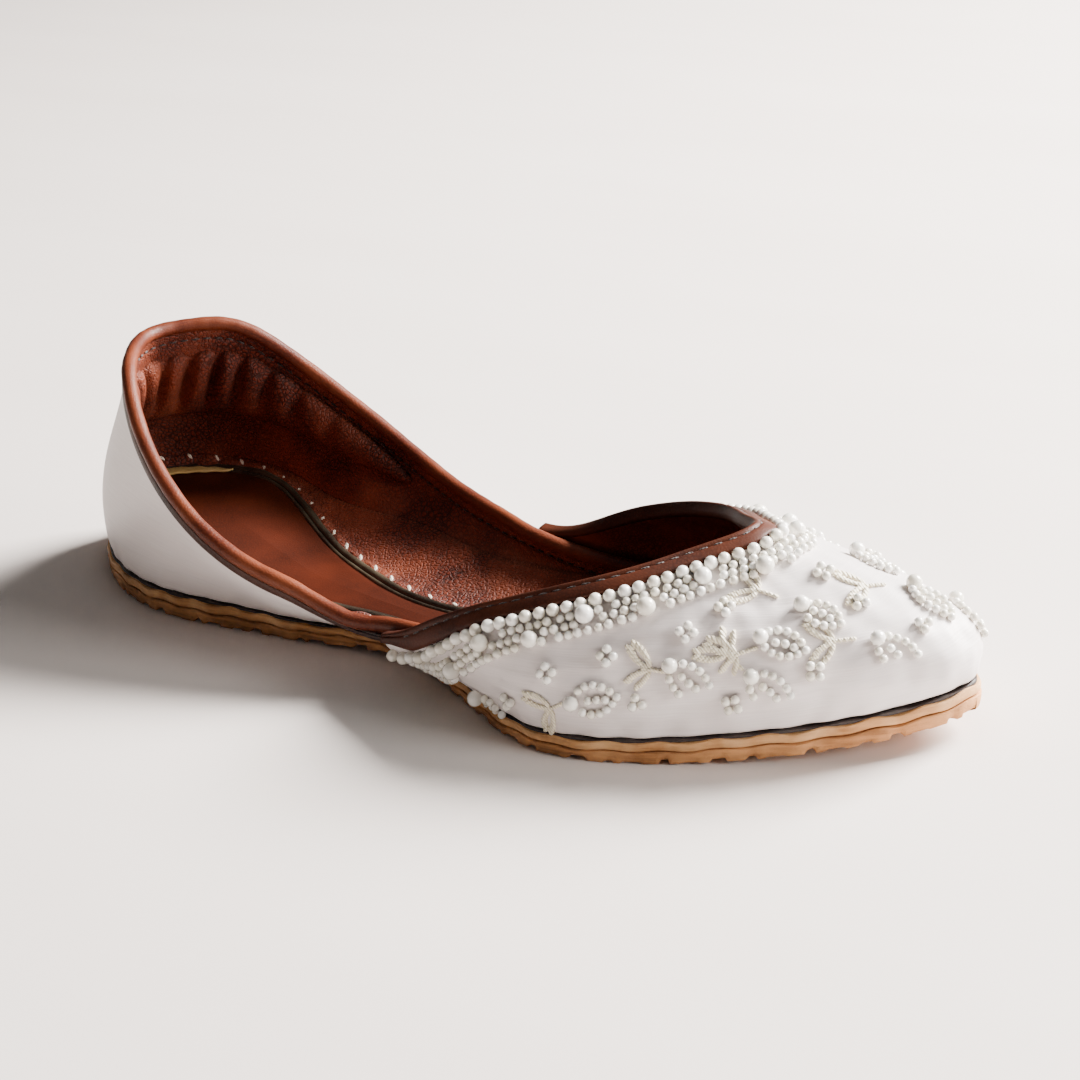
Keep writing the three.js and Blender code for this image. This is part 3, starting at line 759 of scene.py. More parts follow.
def soft_folds(spots, folds):
    """The height in millimetres that folds add at each place."""
    height = np.zeros(spots.shape[:-1])
    share = np.linspace(0, 1, FOLD_STEPS)
    for side, row_a, up_a, row_b, up_b, width, depth in folds:
        rows = row_a + (row_b - row_a) * share
        line = last(side, row_knot(rows), up_a + (up_b - up_a) * share, 0.0)
        gaps = np.linalg.norm(spots[..., None, :] - line, axis=-1) / MM
        fade = 0.35 + 0.65 * np.sin(math.pi * share[gaps.argmin(axis=-1)])
        height += depth * fade * np.exp(-(gaps.min(axis=-1) / width) ** 2)
    return height


def lasting_pull(walked, part, depth=0.16):
    """The small ripples that the sole's stitches pull into the lowest part of the upper."""
    return depth * np.sin(2 * math.pi * walked / STITCH_PITCH) * np.exp(-(part / 0.12) ** 2)


def puckers(across, up, depth=0.12):
    """The soft dents that the embroidery's thread pulls into the satin."""
    turn = 2 * math.pi / PUCKER_PITCH
    crossed = np.sin(turn * (0.9 * across + 0.5 * up)) * np.sin(turn * (0.8 * up - 0.45 * across) + 1)
    return depth * (crossed + 0.5 * np.sin(turn * (1.7 * across - 0.9 * up) + 2))


# row and share of the way up at both ends, width and height in mm; a negative height is a trough
TOE_FOLDS = (
    (11.6, 0.04, 11.9, 0.36, 3.0, -0.75),
    (12.1, 0.03, 12.4, 0.42, 2.8, 0.60),
    (12.6, 0.03, 13.0, 0.50, 2.4, -1.05),
    (13.1, 0.03, 13.5, 0.46, 2.3, 0.75),
    (13.6, 0.03, 14.1, 0.42, 2.0, -0.80),
    (10.2, 0.05, 10.9, 0.30, 4.0, -0.55),
    (9.2, 0.05, 9.7, 0.34, 3.6, 0.45),
    (8.3, 0.08, 9.0, 0.55, 3.6, -0.50),
    (10.9, 0.50, 12.6, 0.62, 4.0, 0.35),
    (12.2, 0.74, 13.4, 0.62, 3.6, -0.35),
)
vamp_folds = [(side, *fold) for side in (-1, 1) for fold in TOE_FOLDS]
print(len(vamp_folds), "folds on the vamp")

# %% The vamp
WING_ROW = 6.8                # the wings end just ahead of the waist
QUARTER_ROW = 8.6             # the quarters run on behind them to here
BINDING = 0.9
SATIN = 0.8

VAMP_AROUND = 360
VAMP_UP = 72
VAMP_RUN = 125.0              # from the toe's middle to a wing's end
VAMP_CLIMB = 55.0             # from the sole to the edge
on_vamp = walk(WING_ROW, TOE_KNOT)


def vamp_place(out):
    """Where the vamp's sheet lies, this far out from the last."""
    def place(t, s):
        side, knot = on_vamp(t)
        part = s * down_from("vamp", knot[0], BINDING + GAP)
        flat = last(side, knot, part, out)
        lift = soft_folds(flat, vamp_folds) + lasting_pull(np.abs(t) * VAMP_RUN, part)
        lift += puckers(t * VAMP_RUN, part * VAMP_CLIMB)
        return last(side, knot, part, out + lift)
    return place


vamp_satin = lay_sheet("vamp_satin", VAMP_AROUND, VAMP_UP, vamp_place(VAMP_LAP))
vamp_tree = BVHTree.FromPolygons(
    [vert.co.copy() for vert in vamp_satin.data.vertices],
    [tuple(face.vertices) for face in vamp_satin.data.polygons])
thicken(vamp_satin, SATIN)
hand_over(vamp_satin, satin, "white_satin", "upper")

# %% The quarters
PIPING_RADIUS = 1.9
PIPING_SEAT = 2 * PIPING_RADIUS + GAP
QUARTER_AROUND = 340
QUARTER_UP = 56
QUARTER_RUN = 170.0           # from the heel's middle to a quarter's front end
on_quarters = walk(QUARTER_ROW, HEEL_KNOT)

QUARTER_FOLDS = (
    (5.2, 0.10, 6.3, 0.50, 3.6, -0.45),
    (4.4, 0.08, 5.0, 0.45, 4.5, 0.35),
    (2.6, 0.10, 3.4, 0.60, 5.0, -0.35),
    (1.6, 0.06, 1.3, 0.34, 3.5, -0.35),
    (0.8, 0.06, 0.6, 0.38, 3.5, 0.30),
)
quarter_folds = [(side, *fold) for side in (-1, 1) for fold in QUARTER_FOLDS]


def quarter_place(t, s):
    """Where the quarters' satin lies."""
    side, knot = on_quarters(t)
    part = s * down_from("quarter", knot[0], PIPING_SEAT)
    flat = last(side, knot, part, 0.0)
    lift = soft_folds(flat, quarter_folds) + lasting_pull(np.abs(t) * QUARTER_RUN, part)
    return last(side, knot, part, lift)


quarter_satin = lay_sheet("quarter_satin", QUARTER_AROUND, QUARTER_UP, quarter_place, flip=True)
thicken(quarter_satin, SATIN)
hand_over(quarter_satin, satin, "white_satin", "upper")

# %% [markdown]
# ## Brown leathers
#
# Lining, binding, piping and insole are all chrome-tanned leather from the same brown family. They differ
# in how deep the grain is and how much wax lies on top, and in painted light: the binding, the strip under
# the roll and the insole are made darker to paint their shade, and the vamp's lining paler to paint the
# light inside the vamp. The grain is a cell pattern about a millimetre wide with finer cells inside it; it
# is darker in its valleys, and the raised grain is rubbed paler.

# %% Tanned leather
def tanned_leather(name, deep, mid, rubbed, grain_mm, relief, roughness, gloss=0.35):
    """Leather in three browns: deep in the grain's valleys, mid, and rubbed paler in soft patches.

    grain_mm is the width of one cell of the grain, relief its height in millimetres.
    """
    material, tree = new_material(name)
    place = add(tree, "TexCoord", {})
    wander = add(tree, "TexNoise", {"Vector": place.outputs["Object"], "Scale": 1 / (3 * grain_mm * MM)})
    drift = add(tree, "VectorMath", {
        0: wander.outputs["Color"], 1: (0.8 * grain_mm * MM,) * 3}, operation="MULTIPLY")
    warped = add(tree, "VectorMath", {0: place.outputs["Object"], 1: drift.outputs[0]}, operation="ADD")
    cells = add(tree, "TexVoronoi", {
        "Vector": warped.outputs[0], "Scale": 1 / (grain_mm * MM)}, feature="DISTANCE_TO_EDGE")
    valley = add(tree, "MapRange", {"Value": cells.outputs[0], "From Min": 0.0, "From Max": 0.22})
    pores = add(tree, "TexNoise", {
        "Vector": place.outputs["Object"], "Scale": 2.2 / (grain_mm * MM), "Detail": 4.0, "Roughness": 0.6})
    # rubbed patches are about 18 mm across
    patches = add(tree, "TexNoise", {"Vector": place.outputs["Object"], "Scale": 55.0, "Detail": 4.0})
    rub = add(tree, "MapRange", {"Value": patches.outputs[0], "From Min": 0.42, "From Max": 0.72})
    dark = add(tree, "Mix", {0: valley.outputs[0], 6: linear(deep), 7: linear(mid)}, data_type="RGBA")
    tone = add(tree, "Mix", {0: rub.outputs[0], 6: dark.outputs[2], 7: linear(rubbed)}, data_type="RGBA")
    height = add(tree, "Math", {0: valley.outputs[0], 1: 0.6, 2: pores.outputs[0]}, operation="MULTIPLY_ADD")
    bump = add(tree, "Bump", {"Height": height.outputs[0], "Strength": 0.6, "Distance": relief * MM})
    shine = add(tree, "MapRange", {
        "Value": pores.outputs[0], "From Min": 0.3, "From Max": 0.7,
        "To Min": roughness - 0.06, "To Max": roughness + 0.08})
    shader = add(tree, "BsdfPrincipled", {
        "Base Color": tone.outputs[2], "Normal": bump.outputs[0], "Roughness": shine.outputs[0],
        "Specular IOR Level": gloss})
    add(tree, "OutputMaterial", {"Surface": shader.outputs[0]})
    return material


# pebbled: deep round grain that breaks the light into small dots
lining_leather = tanned_leather(
    "lining_leather_pebbled", "#280D06", "#622716", "#86432B", 1.1, 0.65, 0.5, gloss=0.3)
# smooth: an even brown that only shows in the shade of the vamp, made paler than the quarters' lining to
# paint the light that reaches in there
vamp_lining_painted_light = tanned_leather(
    "lining_leather_smooth_painted_light", "#4A1F12", "#703420", "#8A442B", 0.9, 0.08, 0.5)
# skived flat for the binding, with little shine: the roll's leather darkened to near black-brown to paint
# the shade the binding lies in
binding_leather_painted_shade = tanned_leather(
    "binding_leather_flat_painted_shade", "#2B120A", "#3C1B10", "#522817", 0.8, 0.06, 0.5, gloss=0.2)
# waxed and rolled: one long soft highlight
roll_leather = tanned_leather(
    "edge_leather_rolled", "#45190D", "#572512", "#713820", 0.8, 0.10, 0.45, gloss=0.25)
# near black: the dark line under the roll, which paints the roll's shade on the satin
under_roll_shade_leather = tanned_leather(
    "under_roll_painted_shade", "#20100B", "#311912", "#45261A", 0.9, 0.08, 0.5)
# buffed sock leather, almost without shine: its browns are darkened far below the leather's own cognac to
# paint the shade that falls on it inside the shoe
insole_leather_painted_shade = tanned_leather(
    "insole_sock_painted_shade", "#2B0E05", "#351206", "#40180A", 0.7, 0.05, 0.65, gloss=0.06)
print("six brown leathers")

# %% [markdown]
# ## The linings
#
# The quarters are lined with pebbled leather. It goes up behind the rolled collar and is stitched 2 mm
# below the roll, and the stitch draws a fine groove round the whole collar. Near the sole the lining gathers
# a little between the saddle stitches. The vamp has a smooth lining.

# %% The quarters' lining
LINING = 0.9
LINING_TUCK = 1.5             # how far it goes up behind the roll
LINING_FOOT = 0.05            # the share of the way up where it starts
SEAM_DROP = 5.8


def groove(distance, width, depth):
    """A narrow trough on a line, seen at this distance from it."""
    return -depth * np.exp(-(distance / width) ** 2)


LINING_FOLDS = (
    (4.3, 0.15, 4.6, 0.75, 3.0, -0.5),
    (4.8, 0.12, 5.3, 0.70, 3.0, 0.4),
    (5.3, 0.10, 5.9, 0.60, 2.6, -0.4),
    (6.0, 0.12, 6.8, 0.60, 3.0, 0.3),
    (3.6, 0.10, 3.9, 0.50, 3.5, 0.4),
)
lining_folds = [(side, *fold) for side in (-1, 1) for fold in LINING_FOLDS]


def lining_place(t, s):
    """Where the face of the quarters' lining lies, inside the wall."""
    side, knot = on_quarters(t)
    top = down_from("quarter", knot[0], PIPING_SEAT - LINING_TUCK)
    seam = down_from("quarter", knot[0], SEAM_DROP)
    part = LINING_FOOT + s * (top - LINING_FOOT)
    flat = last(side, knot, part, -WALL)
    height_mm = np.linalg.norm(np.diff(flat, axis=0), axis=-1).sum(axis=0) / MM
    from_seam = (part - seam) / (top - LINING_FOOT) * height_mm
    lift = soft_folds(flat, lining_folds) + groove(from_seam, width=0.6, depth=0.5)
    gather = 0.45 * np.abs(np.sin(math.pi * t * QUARTER_RUN / STITCH_PITCH)) * np.exp(-(part / 0.16) ** 2)
    return last(side, knot, part, -WALL - lift - gather)


quarter_lining = lay_sheet("quarter_lining", QUARTER_AROUND, QUARTER_UP, lining_place)
thicken(quarter_lining, LINING)
hand_over(quarter_lining, lining_leather, "brown_lining_leather", "upper")

# %% The vamp's lining
VAMP_LINING_AROUND = 200
VAMP_LINING_UP = 24
VAMP_LINING_FOOT = 0.03


def vamp_lining_place(t, s):
    """Where the face of the vamp's lining lies."""
    side, knot = on_vamp(t)
    part = VAMP_LINING_FOOT + s * (down_from("vamp", knot[0], BINDING + GAP) - VAMP_LINING_FOOT)
    return last(side, knot, part, VAMP_LAP - WALL)


vamp_lining = lay_sheet("vamp_lining", VAMP_LINING_AROUND, VAMP_LINING_UP, vamp_lining_place, flip=True)
thicken(vamp_lining, LINING)
hand_over(vamp_lining, vamp_lining_painted_light, "brown_lining_leather", "upper")

# %% [markdown]
# ## The insole and its edge
#
# A cognac leather sock lies on the sole inside the shoe; here its colour is darkened to paint the shade that
# falls on it. Its edge is folded over a cord and shows as a dark double bead, and at the back of the heel a
# sliver of undyed leather shows beside it. The sock is another skin round the outline, set further in, and
# so
# are the two beads: their section is a circle.

# %% The sock
INSOLE = 2.2
SOCK_STEPS = 400
# how far inside the sole's outline its edge lies: ahead, at the heel, and more on the waist's inner side
INSOLE_INSET = 7.5
INSOLE_HEEL_INSET = 4.5
INSOLE_HEEL_END = 70.0
INSOLE_WAIST_INSET = 9.0
INSOLE_WAIST_REACH = 80.0
INSOLE_BOTTOM = RAND_BOTTOM + RAND + GAP
INSOLE_TOP = INSOLE_BOTTOM + INSOLE
# a leather wedge under the sock lifts the heel
HEEL_LIFT = 8.0
HEEL_LIFT_TOP = 34.0
HEEL_LIFT_END = 84.0
# and it sinks just ahead of the waist
WAIST_SAG = 2.2
SAG_MIDDLE = 130.0
SAG_REACH = 48.0


def waist_inset(x):
    """How much further in the sock's inner edge lies at the waist."""
    return INSOLE_WAIST_INSET * smooth(1 - np.abs(x - ARCH_MIDDLE) / INSOLE_WAIST_REACH)


def sag(x):
    """How far the sock sinks at the waist."""
    return WAIST_SAG * smooth(1 - np.abs(x - SAG_MIDDLE) / SAG_REACH)


def insole_edge(walked):
    """How far inside the sole's outline the sock's edge lies, and how far it is lifted there."""
    side, knot, _ = rim_at(2 * walked / RIM_LENGTH - 1)
    x = outline(knot)[0]
    heel = 1 - smooth(x / INSOLE_HEEL_END)
    inset = INSOLE_INSET + (INSOLE_HEEL_INSET - INSOLE_INSET) * heel + waist_inset(x) * (side > 0)
    wedge = HEEL_LIFT * smooth((HEEL_LIFT_END - x) / (HEEL_LIFT_END - HEEL_LIFT_TOP))
    return inset, wedge - sag(x)


def sock_section(walked):
    """Crowned a little in the middle, with a rounded edge."""
    edge, lift = insole_edge(walked)
    top = INSOLE_TOP + lift
    return (
        (MIDDLE, top + 0.35),
        (edge + 3.5, top + 0.2),
        (edge + 0.8, top),
        (edge + 0.1, top - 0.4),
        (edge, np.minimum(lift, 0) + INSOLE_BOTTOM),
        (MIDDLE, np.minimum(lift, 0) + INSOLE_BOTTOM),
    )


insole_sock = skin("insole_sock", sock_section, SOCK_STEPS, middle=lambda x: -waist_inset(x) / 2)
hand_over(insole_sock, insole_leather_painted_shade, "insole_leather", "insole")

# %% The dark beads round it
BEAD_STEPS = 500
# blackened and waxed over a cord: a thin clear highlight
bead_leather = tanned_leather("bead_leather_black_brown", "#14100C", "#2A221A", "#4A4234", 0.9, 0.08, 0.36)


def ring(centre_inset, centre_height, radius, sides=10):
    """The section of a cord laid round the insole, as a function for skin()."""
    angles = np.linspace(0, -2 * math.pi, sides + 1)

    def section(walked):
        uneven = radius * (1 + 0.08 * np.sin(walked / 5.3) + 0.05 * np.sin(walked / 2.1 + 1))
        edge, lift = insole_edge(walked)
        across, height = edge + centre_inset, centre_height + lift
        return [(across + uneven * math.cos(a), height + uneven * math.sin(a)) for a in angles]

    return section


outer_bead = skin("insole_edge_bead", ring(-0.7, INSOLE_TOP + 0.05, 1.15), BEAD_STEPS)
inner_bead = skin("insole_edge_fold", ring(0.95, INSOLE_TOP - 0.1, 0.65), BEAD_STEPS)
for bead in (outer_bead, inner_bead):
    hand_over(bead, bead_leather, "dark_edge_bead")

# %% The undyed sliver at the heel
# split leather as it leaves the tannery: pale, dull and fibrous
undyed_leather = sole_leather("undyed_leather_split", "#8F7440", "#B2965A", "#CDB47C")
SLIVER_REACH = 42.0
SLIVER_WIDTH = 4.8
SLIVER_FROM_EDGE = 1.2
SLIVER_THICKNESS = 0.4
SLIVER_AROUND = 60
SLIVER_UP = 6


def sliver_place(t, s):
    """A crescent along the inside of the beads, widest at the heel's middle."""
    side, knot, walked = rim_at(t * 2 * SLIVER_REACH / RIM_LENGTH)
    x, y, out_x, out_y = outline(knot)
    width = SLIVER_WIDTH * np.sqrt(np.maximum(0.0, 1 - t ** 2)) + 0.1
    edge, lift = insole_edge(walked)
    inset = edge + SLIVER_FROM_EDGE + s * width
    height = INSOLE_TOP + lift + 0.45 + 0.2 * np.sin(math.pi * s) + 0.08 * np.sin(walked)
    return in_frame(side, x - inset * out_x, y - inset * out_y, level(height, x))


heel_sliver = lay_sheet("heel_sliver", SLIVER_AROUND, SLIVER_UP, sliver_place)
thicken(heel_sliver, SLIVER_THICKNESS)
hand_over(heel_sliver, undyed_leather, "insole_leather")

# %% [markdown]
# ## The flange and its saddle stitches
#
# At the foot of the wall the lining turns in and is stitched through the sole with thick white thread, one
# stitch every 7.8 mm. Each stitch pulls the leather down and the leather bulges between two of them, so the
# bulge is a wave with the stitches in its valleys.

# %% The flange
BULGE_FROM_EDGE = 2.3
BULGE_WIDTH = 1.5
STITCH_FROM_EDGE = 3.0
FLANGE = 0.6
FLANGE_AROUND = 760
FLANGE_UP = 16
FLANGE_HOLLOW = 1.6           # how far it sags between wall and sock, where the two are far apart


def flange_place(t, s):
    """From the wall down to the bead's foot: a hollow curve with a bulging border."""
    side, knot, walked = rim_at(t)
    x, y, out_x, out_y = outline(knot)
    edge, lift = insole_edge(walked)
    inset = edge + 0.2
    inner = in_frame(side, x - inset * out_x, y - inset * out_y, level(INSOLE_TOP - 1.0, x) + lift)
    wide = smooth((edge - 8.0) / 8.0)
    wall = last(side, knot, 0.10 + 0.11 * lift / HEEL_LIFT + 0.22 * wide, -WALL - 0.1)
    place = wall * (1 - s)[..., None] + inner * s[..., None]
    from_edge = np.linalg.norm(place - inner, axis=-1) / MM
    pull = 0.30 + 0.85 * np.abs(np.sin(math.pi * walked / STITCH_PITCH))
    bulge = pull * np.exp(-((from_edge - BULGE_FROM_EDGE) / BULGE_WIDTH) ** 2)
    place[..., 2] += (bulge - FLANGE_HOLLOW * wide * np.sin(math.pi * s)) * MM
    return place


lining_flange = lay_sheet("lining_flange", FLANGE_AROUND, FLANGE_UP, flange_place)
thicken(lining_flange, FLANGE)
hand_over(lining_flange, lining_leather, "brown_lining_leather")

# %% [markdown]
# ## Small things by the hundred
#
# Stitches, pearls and seed beads are all one shape, a round grain that is stretched more or less along its
# thread. One function puts a low sphere at each place, turned to the surface, and joins them in one mesh:
# hundreds of separate objects would only slow the scene. Thread is twisted from two strands, so its colour
# and its bump run in slanting bands.

# %% Grains
def grains(name, places, along, outward, sizes, sides=8):
    """One mesh of spheres, their sizes (length along, width, height) in mm, turned by along and outward."""
    bm = bmesh.new()
    bmesh.ops.create_uvsphere(bm, u_segments=sides, v_segments=sides - 2, radius=0.5)
    ball = np.array([vert.co for vert in bm.verts])
    faces = [[vert.index for vert in face.verts] for face in bm.faces]
    bm.free()
    along, outward = unit(along), unit(outward)
    across = unit(np.cross(outward, along))
    turns = np.stack([along, across, np.cross(along, across)], axis=1)
    turns = turns * np.broadcast_to(np.asarray(sizes, float), places.shape)[..., None] * MM
    spots = places[:, None, :] + np.einsum("vk,gkx->gvx", ball, turns)
    mesh = bpy.data.meshes.new(name)
    mesh.from_pydata(
        spots.reshape(-1, 3).tolist(), [],
        [[corner + grain * len(ball) for corner in face] for grain in range(len(places)) for face in faces])
    mesh.shade_smooth()
    shade = mesh.attributes.new("shade", "FLOAT", "POINT")
    shade.data.foreach_set("value", np.repeat([chance.random() for _ in places], len(ball)))
    piece = bpy.data.objects.new(name, mesh)
    bpy.context.collection.objects.link(piece)
    print(name, len(places), "grains")
    return piece


def stops_along(line, pitch, first=0.0):
    """Even stops on a line, counted both ways from its middle point: each one's index and millimetres."""
    walked = np.concatenate([[0], np.cumsum(np.linalg.norm(np.diff(line, axis=0), axis=1))]) / MM
    walked -= walked[len(line) // 2]
    count_back = int((-walked[0] - first) // pitch)
    count_on = int((walked[-1] - first) // pitch)
    stops = np.arange(-count_back, count_on + 1) * pitch + first
    return np.interp(stops, walked, np.arange(len(walked))), stops


def pick(line, index):
    """A point of the line at each index, which may lie between two points."""
    whole = np.arange(len(line))
    return np.stack([np.interp(index, whole, line[:, axis]) for axis in range(3)], axis=-1)


def heading(line, index):
    """The direction of the line at each index."""
    return pick(line, np.minimum(index + 0.5, len(line) - 1)) - pick(line, np.maximum(index - 0.5, 0))


def thread(name, shade, light, strand_mm, roughness=0.6):
    """Twisted thread: two tones in fine bands, with a bump to match."""
    material, tree = new_material(name)
    place = add(tree, "TexCoord", {})
    # a wave's bands are about a third of a unit apart
    bands = add(tree, "TexWave", {
        "Vector": place.outputs["Object"],
        "Scale": 0.3 / (strand_mm * MM),
        "Distortion": 1.5,
    }, bands_direction="DIAGONAL")
    tone = add(tree, "Mix", {0: bands.outputs[1], 6: linear(shade), 7: linear(light)}, data_type="RGBA")
    bump = add(tree, "Bump", {"Height": bands.outputs[1], "Strength": 0.5, "Distance": 0.15 * MM})
    shader = add(tree, "BsdfPrincipled", {
        "Base Color": tone.outputs[2],
        "Normal": bump.outputs[0],
        "Roughness": roughness,
        "Sheen Weight": 0.3,
    })
    add(tree, "OutputMaterial", {"Surface": shader.outputs[0]})
    return material


# waxed linen reads as short bright dashes; the brown sewing thread is darkened to near black, painting the
# shade that makes its stitches read as dark slits in the leather
white_thread = thread("linen_thread_waxed_white", "#B9AF9B", "#EDE6D6", 0.5)
brown_thread = thread("polyester_thread_brown_painted_shade", "#120704", "#1E0E08", 0.6)
print(white_thread.name, brown_thread.name)

# %% Saddle stitches
FLANGE_POINTS = 2401
FLANGE_STITCHED = 0.84        # the share of the rim that is stitched, the rest is deep in the toe
SADDLE_STITCH = (3.0, 1.1, 0.9)


def flange_line(from_edge):
    """The line on the flange this far from the insole's edge."""
    t = np.linspace(-FLANGE_STITCHED, FLANGE_STITCHED, FLANGE_POINTS)[None]
    width = np.linalg.norm(flange_place(t, 0 * t) - flange_place(t, 0 * t + 1), axis=-1) / MM
    return flange_place(t, np.clip(1 - from_edge / width, 0, 1))[0]


stitch_line = flange_line(STITCH_FROM_EDGE)
stitch_back = flange_line(STITCH_FROM_EDGE - 1.0)
stops, _ = stops_along(stitch_line, STITCH_PITCH)
slant = unit(heading(stitch_line, stops)) + 0.7 * unit(pick(stitch_back, stops) - pick(stitch_line, stops))
spots = pick(stitch_line, stops) + np.array((0, 0, 0.35 * MM))
upward = np.tile((0.0, 0.0, 1.0), (len(spots), 1))
saddle_stitches = grains("saddle_stitches", spots, slant, upward, SADDLE_STITCH)
hand_over(saddle_stitches, white_thread, "cream_thread")

# %% The seam below the collar
SEAM_POINTS = 1601
SEAM_PITCH = 3.0
SEAM_STITCH = (2.3, 0.5, 0.5)

seam_t = np.linspace(-1, 1, SEAM_POINTS)
seam_side, seam_knot = on_quarters(seam_t)
seam_part = down_from("quarter", seam_knot, SEAM_DROP)
seam_line = last(seam_side, seam_knot, seam_part, -WALL + 0.12)
seam_out = last(seam_side, seam_knot, seam_part, -WALL - 1.0) - seam_line
stops, _ = stops_along(seam_line, SEAM_PITCH)
lining_seam = grains(
    "lining_seam", pick(seam_line, stops), heading(seam_line, stops), pick(seam_out, stops),
    SEAM_STITCH, sides=6)
hand_over(lining_seam, brown_thread, "brown_thread")

# %% [markdown]
# ## The heel pad
#
# A crescent of foam lies in the lining of the heel, and the leather over it is gathered, so it stands in
# soft pleats. It is a closed form: its section goes up the front and back down behind. The pleats are
# valleys across the swell, listed one by one and deeper towards the top, where the gathers are sewn. It is
# laid rather than blown up as cloth, because its seam sets the gathers, and not its weight.

# %% The pad
PAD_ROW = 4.4
PAD_MIDDLE = 0.65             # its middle and half its height, as shares of the way up
PAD_HALF = 0.175
PAD_DEPTH = 3.9
PAD_AROUND = 320
PAD_UP = 48
# where each pleat lies between the heel's middle, 0, and the pad's end, 1, and how deep it is
PLEATS = ((0.055, 0.9), (0.16, 1.0), (0.27, 1.0), (0.38, 0.9), (0.49, 0.7), (0.60, 0.55), (0.72, 0.35))
PLEAT_WIDTH = 0.024
on_pad = walk(PAD_ROW, HEEL_KNOT)


def pleats(t, climb):
    """How much of the swell the pleats take away."""
    lost = np.zeros_like(t)
    for where, depth in PLEATS:
        lost += depth * np.exp(-((np.abs(t) - where - 0.012 * climb) / PLEAT_WIDTH) ** 2)
    return lost * smooth(0.85 + 0.6 * climb)


def pad_place(t, s):
    """Up the front of the pad and down behind it."""
    side, knot = on_pad(t)
    angle = 2 * math.pi * s
    climb = -np.cos(angle)
    lost = pleats(t, climb)
    half = PAD_HALF * np.sqrt(np.maximum(0.0, 1 - np.abs(t) ** 5)) * (1 - 0.16 * lost * (climb > 0) * climb)
    part = PAD_MIDDLE - 0.02 * t ** 2 + half * climb
    end = np.sqrt(np.maximum(0.0, 1 - t ** 4))
    front = np.maximum(np.sin(angle), 0.0)
    depth = PAD_DEPTH * front ** 0.8 * end * (1 - 0.88 * lost) - 0.3 * (front <= 0)
    return last(side, knot, part, -WALL - 0.05 - depth)


heel_pad = lay_sheet("heel_pad_gathered", PAD_AROUND, PAD_UP, pad_place)
hand_over(heel_pad, lining_leather, "brown_lining_leather", "heel_pad")

# %% [markdown]
# ## Collar piping and binding
#
# The quarters' edge is covered by a roll of brown leather, and a flat strip is folded over the vamp's edge.
# Rolled leather catches a long highlight, so its section must be round and its run smooth: the roll is a
# sheet whose two sides meet, carried along the rim by the rim's own directions.

# %% The roll
WING_CLEAR = 0.8              # it starts to turn in this many rows behind the wings
IN_WING = VAMP_LAP - WALL - 4 * GAP - PIPING_RADIUS
ROLL_AROUND = 400
ROLL_SIDES = 18


def square_to(vectors, *ways):
    """What is left of the vectors once their share along each of the ways is taken away, at length one."""
    for way in ways:
        vectors = vectors - (vectors * way).sum(-1, keepdims=True) * way
    return unit(vectors)


def piping_spine(t):
    """The roll's middle line and, at each point, the directions along, out and up."""
    side, knot = on_quarters(t)
    clear, wing = row_knot(WING_ROW - WING_CLEAR), row_knot(WING_ROW)
    hidden = smooth((knot - clear) / (wing - clear))
    out = -WALL / 2 + (IN_WING + WALL / 2) * hidden
    part = down_from("quarter", knot, PIPING_SEAT)
    rim = last(side, knot, part, out)
    along = unit(np.gradient(rim, axis=0))
    up = square_to(rim - last(side, knot, part - 0.01, out), along)
    outward = square_to(last(side, knot, part, out + 0.5) - rim, along, up)
    return rim + up * (PIPING_RADIUS + GAP) * MM, along, outward, up


def piping_place(t, s):
    """A round section with a soft seam on its inner side."""
    spine, along, outward, up = piping_spine(t[0])
    angle = 2 * math.pi * s
    uneven = 1 + 0.02 * np.sin(t * 61) + 0.015 * np.sin(t * 173 + 1)
    tuck = 1 - 0.10 * np.exp(-((angle - math.pi * 1.2) / 0.16) ** 2)
    radius = PIPING_RADIUS * MM * uneven * tuck
    turned = np.cos(angle)[..., None] * outward + np.sin(angle)[..., None] * up
    return spine + radius[..., None] * turned


collar_roll = lay_sheet("collar_roll", ROLL_AROUND, ROLL_SIDES, piping_place)
hand_over(collar_roll, roll_leather, "brown_edge_leather", "collar_piping")

# %% The dark strip under the roll
UNDER_STRIP = 0.5
UNDER_STRIP_TUCK = 0.9
UNDER_STRIP_DROP = 1.9
UNDER_STRIP_UP = 6


def under_strip_place(t, s):
    """A narrow strip on the satin, from behind the roll down."""
    side, knot = on_quarters(t)
    high = down_from("quarter", knot[0], PIPING_SEAT - UNDER_STRIP_TUCK)
    low = down_from("quarter", knot[0], PIPING_SEAT + UNDER_STRIP_DROP)
    return last(side, knot, low + s * (high - low), 0.3 + 0.35 * np.sin(math.pi * s) ** 0.5)


# the strip paints the shade under the roll as a near-black band on the satin
under_strip = lay_sheet("collar_under_strip", QUARTER_AROUND, UNDER_STRIP_UP, under_strip_place, flip=True)
thicken(under_strip, UNDER_STRIP)
hand_over(under_strip, under_roll_shade_leather, "brown_edge_leather")

# %% The vamp's binding
BINDING_WIDTH = 5.0
BINDING_FACE = VAMP_LAP + 2.5 * GAP
BINDING_LEATHER = 0.5
STITCH_DROP = 1.7
# down the vamp from its edge and out from the last, from the strip's lower edge over the top to its inside,
# with a shallow trough where the stitches draw it in
BINDING_SECTION = (
    (5.1, 2.15), (5.0, 2.9), (4.7, 3.2), (3.8, 3.3), (2.8, 3.3), (2.1, 3.22), (1.7, 3.0), (1.3, 3.22),
    (0.8, 3.3), (0.35, 3.15), (0.08, 2.75), (0.0, 2.2), (0.0, 1.2), (0.1, 0.6), (0.5, -0.1), (1.4, -0.45),
)


